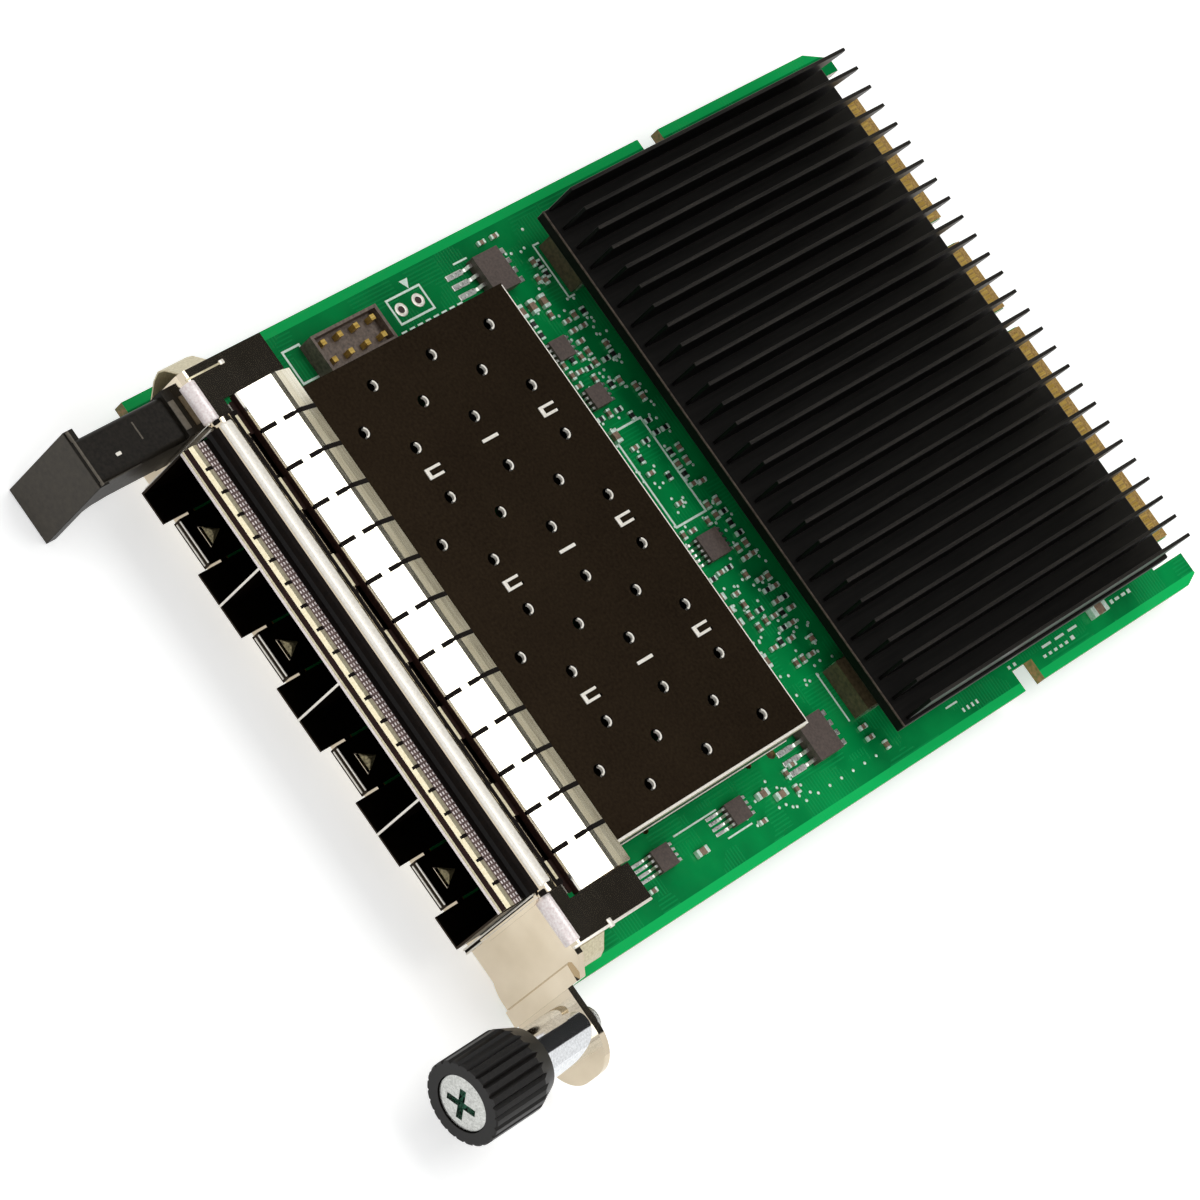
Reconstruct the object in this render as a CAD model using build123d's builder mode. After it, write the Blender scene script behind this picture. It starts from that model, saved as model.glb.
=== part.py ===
from build123d import *
import math
import os

# Frame: X across the card from its middle, Y from the board's front edge to its
# edge connector, Z up from the component face of the board. Millimetres.

# circuit board
board_half = 38.0
board_length = 115.0
board_thick = 1.57
notch_start = 82.1
notch_end = 85.6
notch_deep = 2.7
slot_floor = 109.7
tongue_left = -31.1
tongue_right = 31.9
keys = ((-13.4, -10.1), (-0.6, 2.0), (20.0, 22.3))
contact_pitch = 0.6
contact_width = 0.4
contact_thick = 0.03
contact_start = 110.2
contact_end = 114.0
contact_counts = (28, 14, 28, 14)

# module cage
port_pitch = 14.25
ports = tuple((index - 1.5) * port_pitch for index in range(4))
cage_wall = 0.25
cage_half = 28.5
cage_front = -4.8
cage_back = 43.9
cage_low = 0.3
cage_high = 9.8
floor_top = cage_low + cage_wall
skirt_thick = 0.2
pin_rows = (8.0, 25.0, 42.0)
pin_columns = (-28.375, -14.25, 0.0, 14.25, 28.375)
pin_hole = 0.5

# faceplate
sheet = 0.8
plate_front = -1.0
plate_back = plate_front + sheet
plate_low = -3.4
plate_high = 11.6
plate_half = 35.5
flange_back = 11.0
lower_flange_back = 10.8
window_half = 28.9
window_low = 0.0
window_high = 11.2
window_back = 1.0
ridge_half = 29.3
ridge_high = 12.2
ridge_back = 2.1
wing_edge = 38.3
wing_high = 9.4
ear_corner = 4.2
ear_edge = 47.15
ear_high = 6.85
slot_back = 3.5
clip_reach = 37.35
plate_screw_x = 33.0
plate_screw_y = 7.6
plate_screw_r = 1.2

# finger strips
strip_fingers = 13
strip_pitch = 4.75
strip_thick = 0.15

# heatsink
sink_left = -34.3
sink_right = 34.4
sink_front = 58.2
sink_back = 106.6
sink_low = 4.7
sink_base = 6.2
sink_high = 11.0
fin_count = 27
fin_pitch = 2.61
fin_first = -34.1
fin_thick = 0.42
fin_front = 59.2
post_x = 29.5
post_front = 67.0
post_back = 102.0
post_r = 2.5
sink_screw_r = 1.25

# controller under the heatsink
chip_y = 84.0
chip_half = 12.5
lid_half = 11.5
chip_top = 1.2
lid_top = 3.0
pad_top = 3.6

# thumbscrew
screw_x = 42.0
screw_z = 3.8
screw_r = 1.5
barrel_r = 3.0
barrel_bore = 2.45
barrel_front = -8.0
knob_r = 4.75
knob_back = -8.3
knob_front = -18.0
knob_cavity = -13.6
knob_bore = 3.3
flutes = 24
washer_thick = 0.4
shank_r = 1.25
collar_back = 0.1
ring_back = 0.45
screw_tip = 1.7
head_r = 3.15

# pull tab
tab_left = -35.0
tab_right = -29.7
tab_high = 8.5
tab_low = 1.5
tab_reach = -13.4
tab_pad_front = -14.7
tab_pad_low = -4.7

os.makedirs("parts", exist_ok=True)


def block(x, y, z, mode=Mode.ADD):
    """A box between pairs of limits."""
    middle = (sum(x) / 2, sum(y) / 2, sum(z) / 2)
    with Locations(middle):
        Box(x[1] - x[0], y[1] - y[0], z[1] - z[0], mode=mode)


def rod(x, y, z, radius, mode=Mode.ADD):
    """An upright cylinder between two heights."""
    with Locations((x, y, (z[0] + z[1]) / 2)):
        Cylinder(radius, z[1] - z[0], mode=mode)


def ribbon(points, thick):
    """The outline of a bent strip whose middle line runs through the points."""
    half = thick / 2
    left = []
    right = []
    for index, point in enumerate(points):
        before = points[max(index - 1, 0)]
        after = points[min(index + 1, len(points) - 1)]
        first = (Vector(*point) - Vector(*before)) if index else None
        second = (Vector(*after) - Vector(*point)) if index < len(points) - 1 else None
        first = (first or second).normalized()
        second = (second or first).normalized()
        along = (first + second).normalized()
        reach = half / max(along.dot(first), 0.4)
        side = Vector(-along.Y, along.X)
        left.append(Vector(*point) + side * reach)
        right.append(Vector(*point) - side * reach)
    return [(p.X, p.Y) for p in left + right[::-1]]


def across(plane, points, width):
    """A closed outline drawn on a plane and pulled along its normal."""
    with BuildSketch(plane) as section:
        with BuildLine():
            Polyline(*points, close=True)
        make_face()
    extrude(section.sketch, amount=width)


def save(item, name):
    item.part.label = name
    export_step(item.part, f"parts/{name}.step")


# Circuit board: guide notches, end slots, keyed tongue and drilled holes
outline = [
    (-board_half, 0),
    (board_half, 0),
    (board_half, notch_start),
    (board_half - notch_deep, notch_start),
    (board_half - notch_deep, notch_end),
    (board_half, notch_end),
    (board_half, board_length - 2.0),
    (board_half - 0.8, board_length),
    (tongue_right + 2.5, board_length),
    (tongue_right + 2.5, slot_floor),
    (tongue_right, slot_floor),
    (tongue_right, board_length),
]
for low, high in keys[::-1]:
    outline += [(high, board_length), (high, slot_floor), (low, slot_floor), (low, board_length)]
outline += [
    (tongue_left, board_length),
    (tongue_left, slot_floor),
    (tongue_left - 3.4, slot_floor),
    (tongue_left - 3.4, board_length),
    (-board_half + 1.7, board_length),
    (-board_half, board_length - 3.4),
    (-board_half, notch_end),
    (-board_half + notch_deep, notch_end),
    (-board_half + notch_deep, notch_start),
    (-board_half, notch_start),
]
header_x = -32.3
header_half = 2.25
header_y = 29.0
header_pitch = 2.54
header_across = 2.2
header_spots = [
    (header_x + (column - 0.5) * header_across, header_y + (row - 1.5) * header_pitch)
    for row in range(4)
    for column in range(2)
]
with BuildPart() as circuit_board:
    across(Plane.XY.offset(-board_thick), outline, board_thick)
    tongue_edges = (
        circuit_board.edges()
        .filter_by(Axis.X)
        .filter_by(lambda edge: edge.center().Y > board_length - 0.1)
        .filter_by(lambda edge: tongue_left < edge.center().X < tongue_right)
    )
    chamfer(tongue_edges, length=0.45, length2=0.9)
    with BuildSketch(Plane.XY):
        with Locations(*[(x, y) for x in pin_columns for y in pin_rows], *header_spots):
            RegularPolygon(pin_hole, 8)
    extrude(amount=-board_thick, mode=Mode.SUBTRACT)
    with Locations((plate_screw_x, plate_screw_y, 0), (-plate_screw_x, plate_screw_y, 0)):
        Hole(plate_screw_r + 0.15, board_thick * 2)
    with Locations(*[(x, y, 0) for x in (-post_x, post_x) for y in (post_front, post_back)]):
        Hole(sink_screw_r + 0.15, board_thick * 2)
    with Locations((28.7, 45.6, 0)):
        Hole(0.6, board_thick * 2)
save(circuit_board, "circuit_board")

# Contact fingers on both faces of the tongue
tongue_edges = [tongue_left] + [edge for key in keys for edge in key] + [tongue_right]
contact_spots = []
for segment, count in enumerate(contact_counts):
    middle = (tongue_edges[segment * 2] + tongue_edges[segment * 2 + 1]) / 2
    contact_spots += [middle + (index - (count - 1) / 2) * contact_pitch for index in range(count)]
contact_middle = (contact_start + contact_end) / 2
for name, height in (("edge_contacts_top", 0.0), ("edge_contacts_bottom", -board_thick - contact_thick)):
    with BuildPart() as contacts:
        with BuildSketch(Plane.XY.offset(height)):
            with Locations(*[(x, contact_middle) for x in contact_spots]):
                Rectangle(contact_width, contact_end - contact_start)
        extrude(amount=contact_thick)
    save(contacts, name)

# Cage body: floor, outer walls, dividers and board pins
with BuildPart() as cage_body:
    block((-cage_half, cage_half), (cage_front, cage_back - cage_wall), (cage_low, floor_top))
    for side in (-1, 1):
        edge = sorted((side * cage_half, side * (cage_half - cage_wall)))
        block(edge, (cage_front, cage_back - cage_wall), (cage_low, cage_high - cage_wall))
    for middle in (-port_pitch, 0.0, port_pitch):
        wall = (middle - cage_wall / 2, middle + cage_wall / 2)
        block(wall, (cage_front, cage_back - cage_wall), (cage_low, cage_high - cage_wall))
    for column in pin_columns:
        wall = (column - cage_wall / 2, column + cage_wall / 2)
        for row in pin_rows:
            block(wall, (row - 0.9, row + 0.9), (0, cage_low))
            block(wall, (row - 0.3, row + 0.3), (-board_thick - 0.9, 0))
    for port in ports:
        block((port - 6.4, port + 6.4), (32.6, cage_back - cage_wall), (cage_low, floor_top), Mode.SUBTRACT)
        block((port - 2.85, port + 2.85), (cage_front, -2.7), (cage_low, floor_top), Mode.SUBTRACT)
        for side in (-1, 1):
            slit = sorted((port + side * 2.85, port + side * 3.15))
            block(slit, (cage_front, 6.5), (cage_low, floor_top), Mode.SUBTRACT)
        with BuildSketch(Plane.XY.offset(cage_low)):
            with BuildLine():
                Polyline((port - 1.35, -1.5), (port + 1.35, -1.5), (port, 0.9), close=True)
            make_face()
        extrude(amount=cage_wall, mode=Mode.SUBTRACT)
        block((port - 2.85, port + 2.85), (-2.85, -2.6), (-0.7, floor_top))
save(cage_body, "cage_body")

# Cage cover: perforated top, back wall and side skirts over the body
vent_r = 0.75
vent_rows_side = (21.0, 30.1, 39.2)
vent_rows_middle = (16.4, 25.5, 34.7)
with BuildPart() as cage_cover:
    block((-cage_half, cage_half), (cage_front, cage_back), (cage_high - cage_wall, cage_high))
    block(
        (-cage_half, cage_half), (cage_back - cage_wall, cage_back), (cage_low + 0.6, cage_high - cage_wall)
    )
    for side in (-1, 1):
        edge = sorted((side * cage_half, side * (cage_half + skirt_thick)))
        block(edge, (1.5, cage_back), (5.2, cage_high))
    with BuildSketch(Plane.XY.offset(cage_high)):
        with Locations(
            *[(port + side * 3.97, y) for port in ports for side in (-1, 1) for y in vent_rows_side],
            *[(port, y) for port in ports for y in vent_rows_middle],
        ):
            RegularPolygon(vent_r, 12)
        with Locations(*[(middle - 0.3, 30.15) for middle in (-port_pitch, 0.0, port_pitch)]):
            Rectangle(0.4, 2.5)
    extrude(amount=-cage_wall, mode=Mode.SUBTRACT)
    lugs = [(middle, y) for middle in (-port_pitch, 0.0, port_pitch) for y in (21.3, 39.2)]
    with BuildSketch(Plane.XY.offset(cage_high)):
        with Locations(*lugs):
            Rectangle(1.3, 2.5)
        with Locations(*[(x, y + 0.3) for x, y in lugs]):
            Rectangle(0.6, 1.9, mode=Mode.SUBTRACT)
    extrude(amount=-cage_wall, mode=Mode.SUBTRACT)
save(cage_cover, "cage_cover")

# Spring fingers round the cage mouth
spring_count = 20
spring_pitch = 2.84
spring_half = spring_count * spring_pitch / 2
spring_line = [(-4.87, 9.6), (-4.87, 9.87), (-4.5, 10.2), (-3.8, 10.35), (-3.3, 10.2), (-2.9, 9.88), (-1.3, 9.87)]
with BuildPart() as cage_front_springs:
    across(Plane.YZ.offset(-spring_half), ribbon(spring_line, 0.14), spring_half * 2)
    for index in range(1, spring_count):
        middle = -spring_half + index * spring_pitch
        block((middle - 0.2, middle + 0.2), (-3.6, -2.9), (9.7, 11.0), Mode.SUBTRACT)
save(cage_front_springs, "cage_front_springs")

# Black foam that closes the gap between the cage and the faceplate's ridge
with BuildPart() as window_seal:
    block((-window_half, window_half), (plate_front - 0.15, window_back), (cage_high, window_high))
save(window_seal, "window_seal")

# Module connectors inside the cage, with their contact rows
slot_low = 2.9
slot_high = 4.7
with BuildPart() as port_connectors:
    for port in ports:
        block((port - 6.1, port + 6.1), (33.8, 43.2), (0, 6.6))
        block((port - 5.4, port + 5.4), (33.8, 39.5), (slot_low, slot_high), Mode.SUBTRACT)
        block((port - 6.1, port + 6.1), (33.8, 35.4), (5.4, 6.6), Mode.SUBTRACT)
save(port_connectors, "port_connectors")
with BuildPart() as port_contacts:
    for port in ports:
        for index in range(10):
            middle = port + (index - 4.5) * 1.0
            strip = (middle - 0.2, middle + 0.2)
            block(strip, (34.4, 39.5), (slot_low, slot_low + 0.2))
            block(strip, (34.4, 39.5), (slot_high - 0.2, slot_high))
save(port_contacts, "port_contacts")

# Faceplate: folded sheet with a window, a raised rim, a slotted top flange and an ear
plate_profile = [
    (plate_front, plate_low),
    (lower_flange_back, plate_low),
    (lower_flange_back, plate_low + sheet),
    (plate_back, plate_low + sheet),
    (plate_back, plate_high - sheet),
    (flange_back, plate_high - sheet),
    (flange_back, plate_high),
    (plate_front, plate_high),
]
with BuildPart() as faceplate:
    across(Plane.YZ.offset(-plate_half), plate_profile, plate_half * 2)
    bends = (
        faceplate.edges()
        .filter_by(Axis.X)
        .filter_by(lambda edge: abs(edge.center().Y - plate_front) < 0.01)
    )
    fillet(bends, radius=1.0)
    block((-window_half, window_half), (-2, window_back), (window_low, window_high), Mode.SUBTRACT)
    block((-31.0, 31.0), (ridge_back, slot_back), (plate_high - sheet, plate_high), Mode.SUBTRACT)
    block((-31.0, 31.0), (10.0, 11.5), (plate_high - sheet, plate_high), Mode.SUBTRACT)
    ear_root = plate_half - ear_corner
    ridge_front = (plate_front - 0.1, window_high)
    ridge_crown = (plate_front - 0.1, window_high + 0.3)
    with BuildSketch(Plane.XZ.offset(-plate_back)):
        with BuildLine():
            Polyline(
                (plate_half - 0.1, plate_low),
                (wing_edge, plate_low),
                (wing_edge, wing_high),
                (wing_edge - 2.1, plate_high - 0.3),
                (plate_half - 0.1, plate_high - 0.3),
                close=True,
            )
        make_face()
        with Locations(((ear_edge + ear_root) / 2, (ear_high + plate_low) / 2)):
            RectangleRounded(ear_edge - ear_root, ear_high - plate_low, ear_corner)
        with Locations((screw_x, screw_z)):
            Circle(2.6, mode=Mode.SUBTRACT)
    extrude(amount=sheet)
    band = [
        (wing_edge - 2.1, plate_front + 0.01),
        (wing_edge - 1.9, plate_front - 0.35),
        (wing_edge, plate_front - 0.5),
        (wing_edge, plate_front + 0.01),
    ]
    across(Plane.XY.offset(plate_low), band, wing_high - plate_low)
    with BuildSketch(Plane.XZ.offset(-plate_front - 0.01)):
        with Locations((0, (window_low + window_high) / 2)):
            RectangleRounded(2 * window_half + 1.4, window_high - window_low + 1.4, 1.5)
            Rectangle(2 * window_half, window_high - window_low, mode=Mode.SUBTRACT)
        with Locations((0, window_low - 1)):
            Rectangle(2 * window_half + 4, 2, mode=Mode.SUBTRACT)
    extrude(amount=0.36)
    with BuildSketch(Plane.YZ.offset(-ridge_half)) as ridge:
        with BuildLine():
            Polyline((ridge_back, plate_high), (ridge_back, window_high), ridge_front, ridge_crown)
            Spline(
                ridge_crown,
                (1.35, ridge_high),
                (ridge_back, plate_high),
                tangents=((0.5, 1), (0.15, -1)),
            )
        make_face()
    extrude(ridge.sketch, amount=ridge_half * 2)
    for side in (-1, 1):
        edge = sorted((side * plate_half, side * (plate_half - sheet)))
        block(edge, (plate_back - 0.1, 5.0), (6.6, plate_high - sheet + 0.1))
        with Locations((side * plate_screw_x, plate_screw_y, plate_low)):
            Hole(2.0, sheet * 2)
    for x in (-34.0, -31.0):
        with Locations(Location((x, plate_front, 5.0), (90, 0, 0))):
            Hole(0.85, sheet * 2)
save(faceplate, "faceplate")

# Top and bottom spring finger strips that ground the card in its bay
strip_half = strip_fingers * strip_pitch / 2
top_line = [
    (3.425, 10.9),
    (3.425, 11.72),
    (3.6, 12.05),
    (4.6, 12.22),
    (8.2, 12.62),
    (8.9, 12.52),
    (10.2, 11.9),
    (11.9, 11.05),
    (11.8, 10.725),
    (8.8, 10.725),
]
with BuildPart() as top_finger_strip:
    across(Plane.YZ.offset(-strip_half), ribbon(top_line, strip_thick), strip_half * 2)
    for index in range(1, strip_fingers):
        middle = -strip_half + index * strip_pitch
        block((middle - 0.2, middle + 0.2), (6.7, 12.5), (10, 13), Mode.SUBTRACT)
        block((middle - 0.2, middle + 0.2), (3.0, 5.1), (10, 13), Mode.SUBTRACT)
    for index in range(0, strip_fingers, 2):
        middle = -strip_half + (index + 0.5) * strip_pitch
        block((middle - 1.9, middle + 1.9), (2.5, 3.4), (10.95, 11.1))
save(top_finger_strip, "top_finger_strip")

bottom_line = [(0.6, -3.48), (1.6, -3.5), (3.0, -4.1), (4.6, -4.2), (6.4, -4.1), (8.0, -3.6), (9.2, -3.48)]
with BuildPart() as bottom_finger_strip:
    across(Plane.YZ.offset(-strip_half), ribbon(bottom_line, strip_thick), strip_half * 2)
    for index in range(1, strip_fingers):
        middle = -strip_half + index * strip_pitch
        block((middle - 0.2, middle + 0.2), (1.6, 8.0), (-5, -3), Mode.SUBTRACT)
save(bottom_finger_strip, "bottom_finger_strip")

# Side spring clips on the faceplate's side flanges
side_line = [(35.58, 10.7), (35.8, 10.4), (37.0, 9.0), (clip_reach, 8.0), (37.0, 6.6), (35.9, 4.6), (35.58, 3.8)]
for name, side in (("side_clip_left", -1), ("side_clip_right", 1)):
    with BuildPart() as side_clip:
        line = [(side * x, z) for x, z in side_line]
        across(Plane.XZ.offset(0.1), ribbon(line, strip_thick), -4.1)
    save(side_clip, name)

# Faceplate screws and the nuts pressed into the lower flange
with BuildPart() as faceplate_nuts:
    for side in (-1, 1):
        rod(side * plate_screw_x, plate_screw_y, (plate_low, -board_thick), 2.0)
        rod(side * plate_screw_x, plate_screw_y, (plate_low, -board_thick), plate_screw_r, Mode.SUBTRACT)
save(faceplate_nuts, "faceplate_nuts")
with BuildPart() as faceplate_screws:
    for side in (-1, 1):
        rod(side * plate_screw_x, plate_screw_y, (plate_low + 0.2, 0), plate_screw_r)
        rod(side * plate_screw_x, plate_screw_y, (0, 1.4), 2.2)
        for turn in (0, 90):
            with Locations(Location((side * plate_screw_x, plate_screw_y, 1.2), (0, 0, turn))):
                Box(2.4, 0.5, 0.8, mode=Mode.SUBTRACT)
save(faceplate_screws, "faceplate_screws")

# Heatsink: base, fins, pedestal over the controller and four tapped posts
with BuildPart() as heatsink:
    block((sink_left, sink_right), (sink_front, sink_back), (sink_low, sink_base))
    with BuildSketch(Plane.XY.offset(sink_base)):
        fin_middle = (fin_front + sink_back) / 2
        with Locations(*[(fin_first + index * fin_pitch, fin_middle) for index in range(fin_count)]):
            Rectangle(fin_thick, sink_back - fin_front)
    extrude(amount=sink_high - sink_base)
    block((-lid_half, lid_half), (chip_y - lid_half, chip_y + lid_half), (pad_top, sink_low))
    for x in (-post_x, post_x):
        for y in (post_front, post_back):
            rod(x, y, (0, sink_low), post_r)
            rod(x, y, (0, 3.4), sink_screw_r, Mode.SUBTRACT)
save(heatsink, "heatsink")
with BuildPart() as heatsink_screws:
    for x in (-post_x, post_x):
        for y in (post_front, post_back):
            rod(x, y, (-board_thick, 3.2), sink_screw_r)
            rod(x, y, (-board_thick - 1.2, -board_thick), 2.2)
            for turn in (0, 90):
                with Locations(Location((x, y, -board_thick - 1.1), (0, 0, turn))):
                    Box(2.4, 0.5, 0.8, mode=Mode.SUBTRACT)
save(heatsink_screws, "heatsink_screws")

# Controller package, its lid and the thermal pad
with BuildPart() as controller_chip:
    block((-chip_half, chip_half), (chip_y - chip_half, chip_y + chip_half), (0, chip_top))
save(controller_chip, "controller_chip")
with BuildPart() as controller_lid:
    block((-lid_half, lid_half), (chip_y - lid_half, chip_y + lid_half), (chip_top, lid_top))
    fillet(controller_lid.edges().filter_by(Axis.Z), radius=1.0)
save(controller_lid, "controller_lid")
with BuildPart() as thermal_pad:
    block((-10.5, 10.5), (chip_y - 10.5, chip_y + 10.5), (lid_top, pad_top))
save(thermal_pad, "thermal_pad")

# Thumbscrew, drawn about its own axis: r outwards, y along the card
screw_plane = Plane(origin=(screw_x, 0, screw_z), x_dir=(1, 0, 0), z_dir=(0, 0, 1))
screw_axis = Axis((screw_x, 0, screw_z), (0, 1, 0))


def turned(points, mode=Mode.ADD):
    """A body of revolution about the thumbscrew's axis."""
    with BuildSketch(screw_plane) as section:
        with BuildLine():
            Polyline(*points, close=True)
        make_face()
    revolve(section.sketch, axis=screw_axis, mode=mode)


with BuildPart() as thumbscrew_barrel:
    turned(
        [
            (1.75, collar_back),
            (2.8, collar_back),
            (2.8, plate_back),
            (2.6, plate_back),
            (2.6, plate_front),
            (barrel_r, plate_front),
            (barrel_r, barrel_front + 0.2),
            (barrel_r - 0.2, barrel_front),
            (barrel_bore, barrel_front),
            (barrel_bore, -1.8),
            (1.75, -1.8),
        ]
    )
save(thumbscrew_barrel, "thumbscrew_barrel")

with BuildPart() as thumbscrew_knob:
    turned(
        [
            (shank_r, -17.3),
            (head_r + 0.1, -17.3),
            (head_r + 0.1, knob_front),
            (knob_r - 0.15, knob_front),
            (knob_r, knob_front + 0.15),
            (knob_r, -10.6),
            (3.8, knob_back),
            (knob_bore, knob_back),
            (knob_bore, knob_cavity),
            (shank_r, knob_cavity),
        ]
    )
    for index in range(flutes):
        angle = math.tau * index / flutes
        spot = (screw_x + knob_r * math.cos(angle), (knob_front - 9.7) / 2, screw_z + knob_r * math.sin(angle))
        with Locations(Location(spot, (0, 45 - math.degrees(angle), 0))):
            Box(0.46, -9.7 - knob_front + 0.6, 0.46, mode=Mode.SUBTRACT)
save(thumbscrew_knob, "thumbscrew_knob")

with BuildPart() as thumbscrew_screw:
    turned(
        [
            (0, knob_front - 0.1),
            (head_r - 0.6, knob_front - 0.1),
            (head_r, knob_front + 0.15),
            (head_r, -17.3),
            (shank_r, -17.3),
            (shank_r, ring_back),
            (screw_r, ring_back),
            (screw_r, screw_tip - 0.15),
            (screw_r - 0.15, screw_tip),
            (0, screw_tip),
        ]
    )
    for turn in (-31, 59):
        with Locations(Location((screw_x, knob_front, screw_z), (0, turn, 0))):
            Box(3.8, 1.4, 0.8, mode=Mode.SUBTRACT)
save(thumbscrew_screw, "thumbscrew_screw")

with BuildPart() as thrust_washer:
    turned(
        [
            (shank_r + 0.1, knob_cavity + washer_thick),
            (2.9, knob_cavity + washer_thick),
            (2.9, knob_cavity),
            (shank_r + 0.1, knob_cavity),
        ]
    )
save(thrust_washer, "thrust_washer")

with BuildPart() as retaining_ring:
    turned(
        [
            (shank_r, collar_back + 0.05),
            (2.1, collar_back + 0.05),
            (2.1, ring_back),
            (shank_r, ring_back),
        ]
    )
save(retaining_ring, "retaining_ring")

wire_r = 0.2
spring_low = knob_cavity + washer_thick + wire_r
spring_high = -1.8 - wire_r
with BuildPart() as thumbscrew_spring:
    with BuildLine() as coil:
        Helix(
            pitch=(spring_high - spring_low) / 5,
            height=spring_high - spring_low,
            radius=2.05,
            center=(screw_x, spring_low, screw_z),
            direction=(0, 1, 0),
        )
    with BuildSketch(Plane(origin=coil.line @ 0, z_dir=coil.line % 0)):
        RegularPolygon(wire_r, 6)
    sweep(path=coil.line)
save(thumbscrew_spring, "thumbscrew_spring")

# Pull tab with its two screws from behind the faceplate
tab_profile = [
    (plate_front, tab_low),
    (-9.5, tab_low),
    (-11.6, 0.9),
    (-12.8, -0.6),
    (tab_reach, -3.0),
    (tab_reach, tab_pad_low),
    (tab_pad_front, tab_pad_low),
    (tab_pad_front, tab_high - 0.4),
    (tab_pad_front + 0.4, tab_high),
    (plate_front, tab_high),
]
with BuildPart() as pull_tab:
    across(Plane.YZ.offset(tab_left), tab_profile, tab_right - tab_left)
    fillet(
        pull_tab.edges()
        .filter_by(Axis.Y)
        .filter_by(lambda edge: edge.center().Z > tab_high - 0.1),
        radius=0.7,
    )
    block((-36.2, -29.4), (tab_pad_front, tab_reach), (tab_pad_low, tab_high - 0.4))
    block((-35.3, tab_right), (-2.2, plate_front), (1.0, 9.0))
    for x in (-34.0, -31.0):
        with Locations(Location((x, -2.5, 5.0), (90, 0, 0))):
            Cylinder(0.8, 3.0, mode=Mode.SUBTRACT)
save(pull_tab, "pull_tab")
with BuildPart() as pull_tab_screws:
    for x in (-34.0, -31.0):
        with Locations(Location((x, -2.1, 5.0), (90, 0, 0))):
            Cylinder(0.8, 3.8)
        with Locations(Location((x, 0.2, 5.0), (90, 0, 0))):
            Cylinder(1.35, 0.8)
        with Locations((x, 0.5, 5.0)):
            Box(2.0, 0.6, 0.4, mode=Mode.SUBTRACT)
            Box(0.4, 0.6, 2.0, mode=Mode.SUBTRACT)
save(pull_tab_screws, "pull_tab_screws")

# Pin header
with BuildPart() as header_body:
    block((header_x - header_half, header_x + header_half), (header_y - 5.08, header_y + 5.08), (0, 2.4))
    inner = header_half - 0.35
    block((header_x - inner, header_x + inner), (header_y - 4.7, header_y + 4.7), (1.2, 2.4), Mode.SUBTRACT)
    with BuildSketch(Plane.XY):
        with Locations(*header_spots):
            Rectangle(0.7, 0.7)
    extrude(amount=1.2, mode=Mode.SUBTRACT)
save(header_body, "header_body")
with BuildPart() as header_pins:
    for x, y in header_spots:
        block((x - 0.32, x + 0.32), (y - 0.32, y + 0.32), (-board_thick - 0.9, 2.3))
save(header_pins, "header_pins")


# Gull-wing chips
def leads(spots, inner, outer, width):
    """Leads that step from a package side down to the board; spots are (x, y side, way)."""
    for x, y, way in spots:
        line = [(inner, 0.75), (inner + 0.35, 0.75), (inner + 0.6, 0.12), (outer, 0.12)]
        line = [(y + way * reach, z) for reach, z in line]
        across(Plane.YZ.offset(x - width / 2), ribbon(line, 0.2), width)


power_chip_spots = ((-31.85, 51.9), (29.9, 51.6))
with BuildPart() as power_chips:
    for x, y in power_chip_spots:
        block((x - 2.45, x + 2.45), (y - 1.95, y + 1.95), (0.15, 1.65))
save(power_chips, "power_chips")
with BuildPart() as power_chip_leads:
    for x, y in power_chip_spots:
        for index in range(4):
            lead_x = x + (index - 1.5) * 1.27
            leads([(lead_x, y - 1.95, -1)], 0.0, 2.4, 0.42)
            leads([(lead_x, y + 1.95, 1)], 0.0, 1.3, 0.42)
save(power_chip_leads, "power_chip_leads")

small_chip_spots = (
    (-20.9, 53.7, 1.25),
    (-14.4, 54.1, 1.25),
    (6.1, 55.4, 1.6),
    (32.0, 36.4, 1.3),
    (32.0, 24.3, 1.3),
)
with BuildPart() as small_chips:
    for x, y, half in small_chip_spots:
        block((x - half, x + half), (y - half, y + half), (0.1, 1.1))
save(small_chips, "small_chips")
with BuildPart() as small_chip_leads:
    for x, y, half in small_chip_spots:
        count = round(half * 2 / 0.65)
        for index in range(count):
            lead_x = x + (index - (count - 1) / 2) * 0.65
            leads([(lead_x, y - half, -1), (lead_x, y + half, 1)], 0.0, 1.0, 0.3)
save(small_chip_leads, "small_chip_leads")

# Moulded capacitors with folded end terminals
capacitor_spots = ((-29.2, 62.4), (27.3, 60.6))
capacitor_half = 3.1
with BuildPart() as box_capacitors:
    for x, y in capacitor_spots:
        block((x - capacitor_half, x + capacitor_half), (y - 2.1, y + 2.1), (0.1, 2.8))
save(box_capacitors, "box_capacitors")
with BuildPart() as capacitor_terminals:
    for x, y in capacitor_spots:
        for side in (-1, 1):
            end = x + side * capacitor_half
            edge = sorted((end, end + side * 0.15))
            block(edge, (y - 1.2, y + 1.2), (0, 1.8))
            foot = sorted((end - side * 1.2, end + side * 0.15))
            block(foot, (y - 1.2, y + 1.2), (0, 0.1))
save(capacitor_terminals, "capacitor_terminals")

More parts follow.
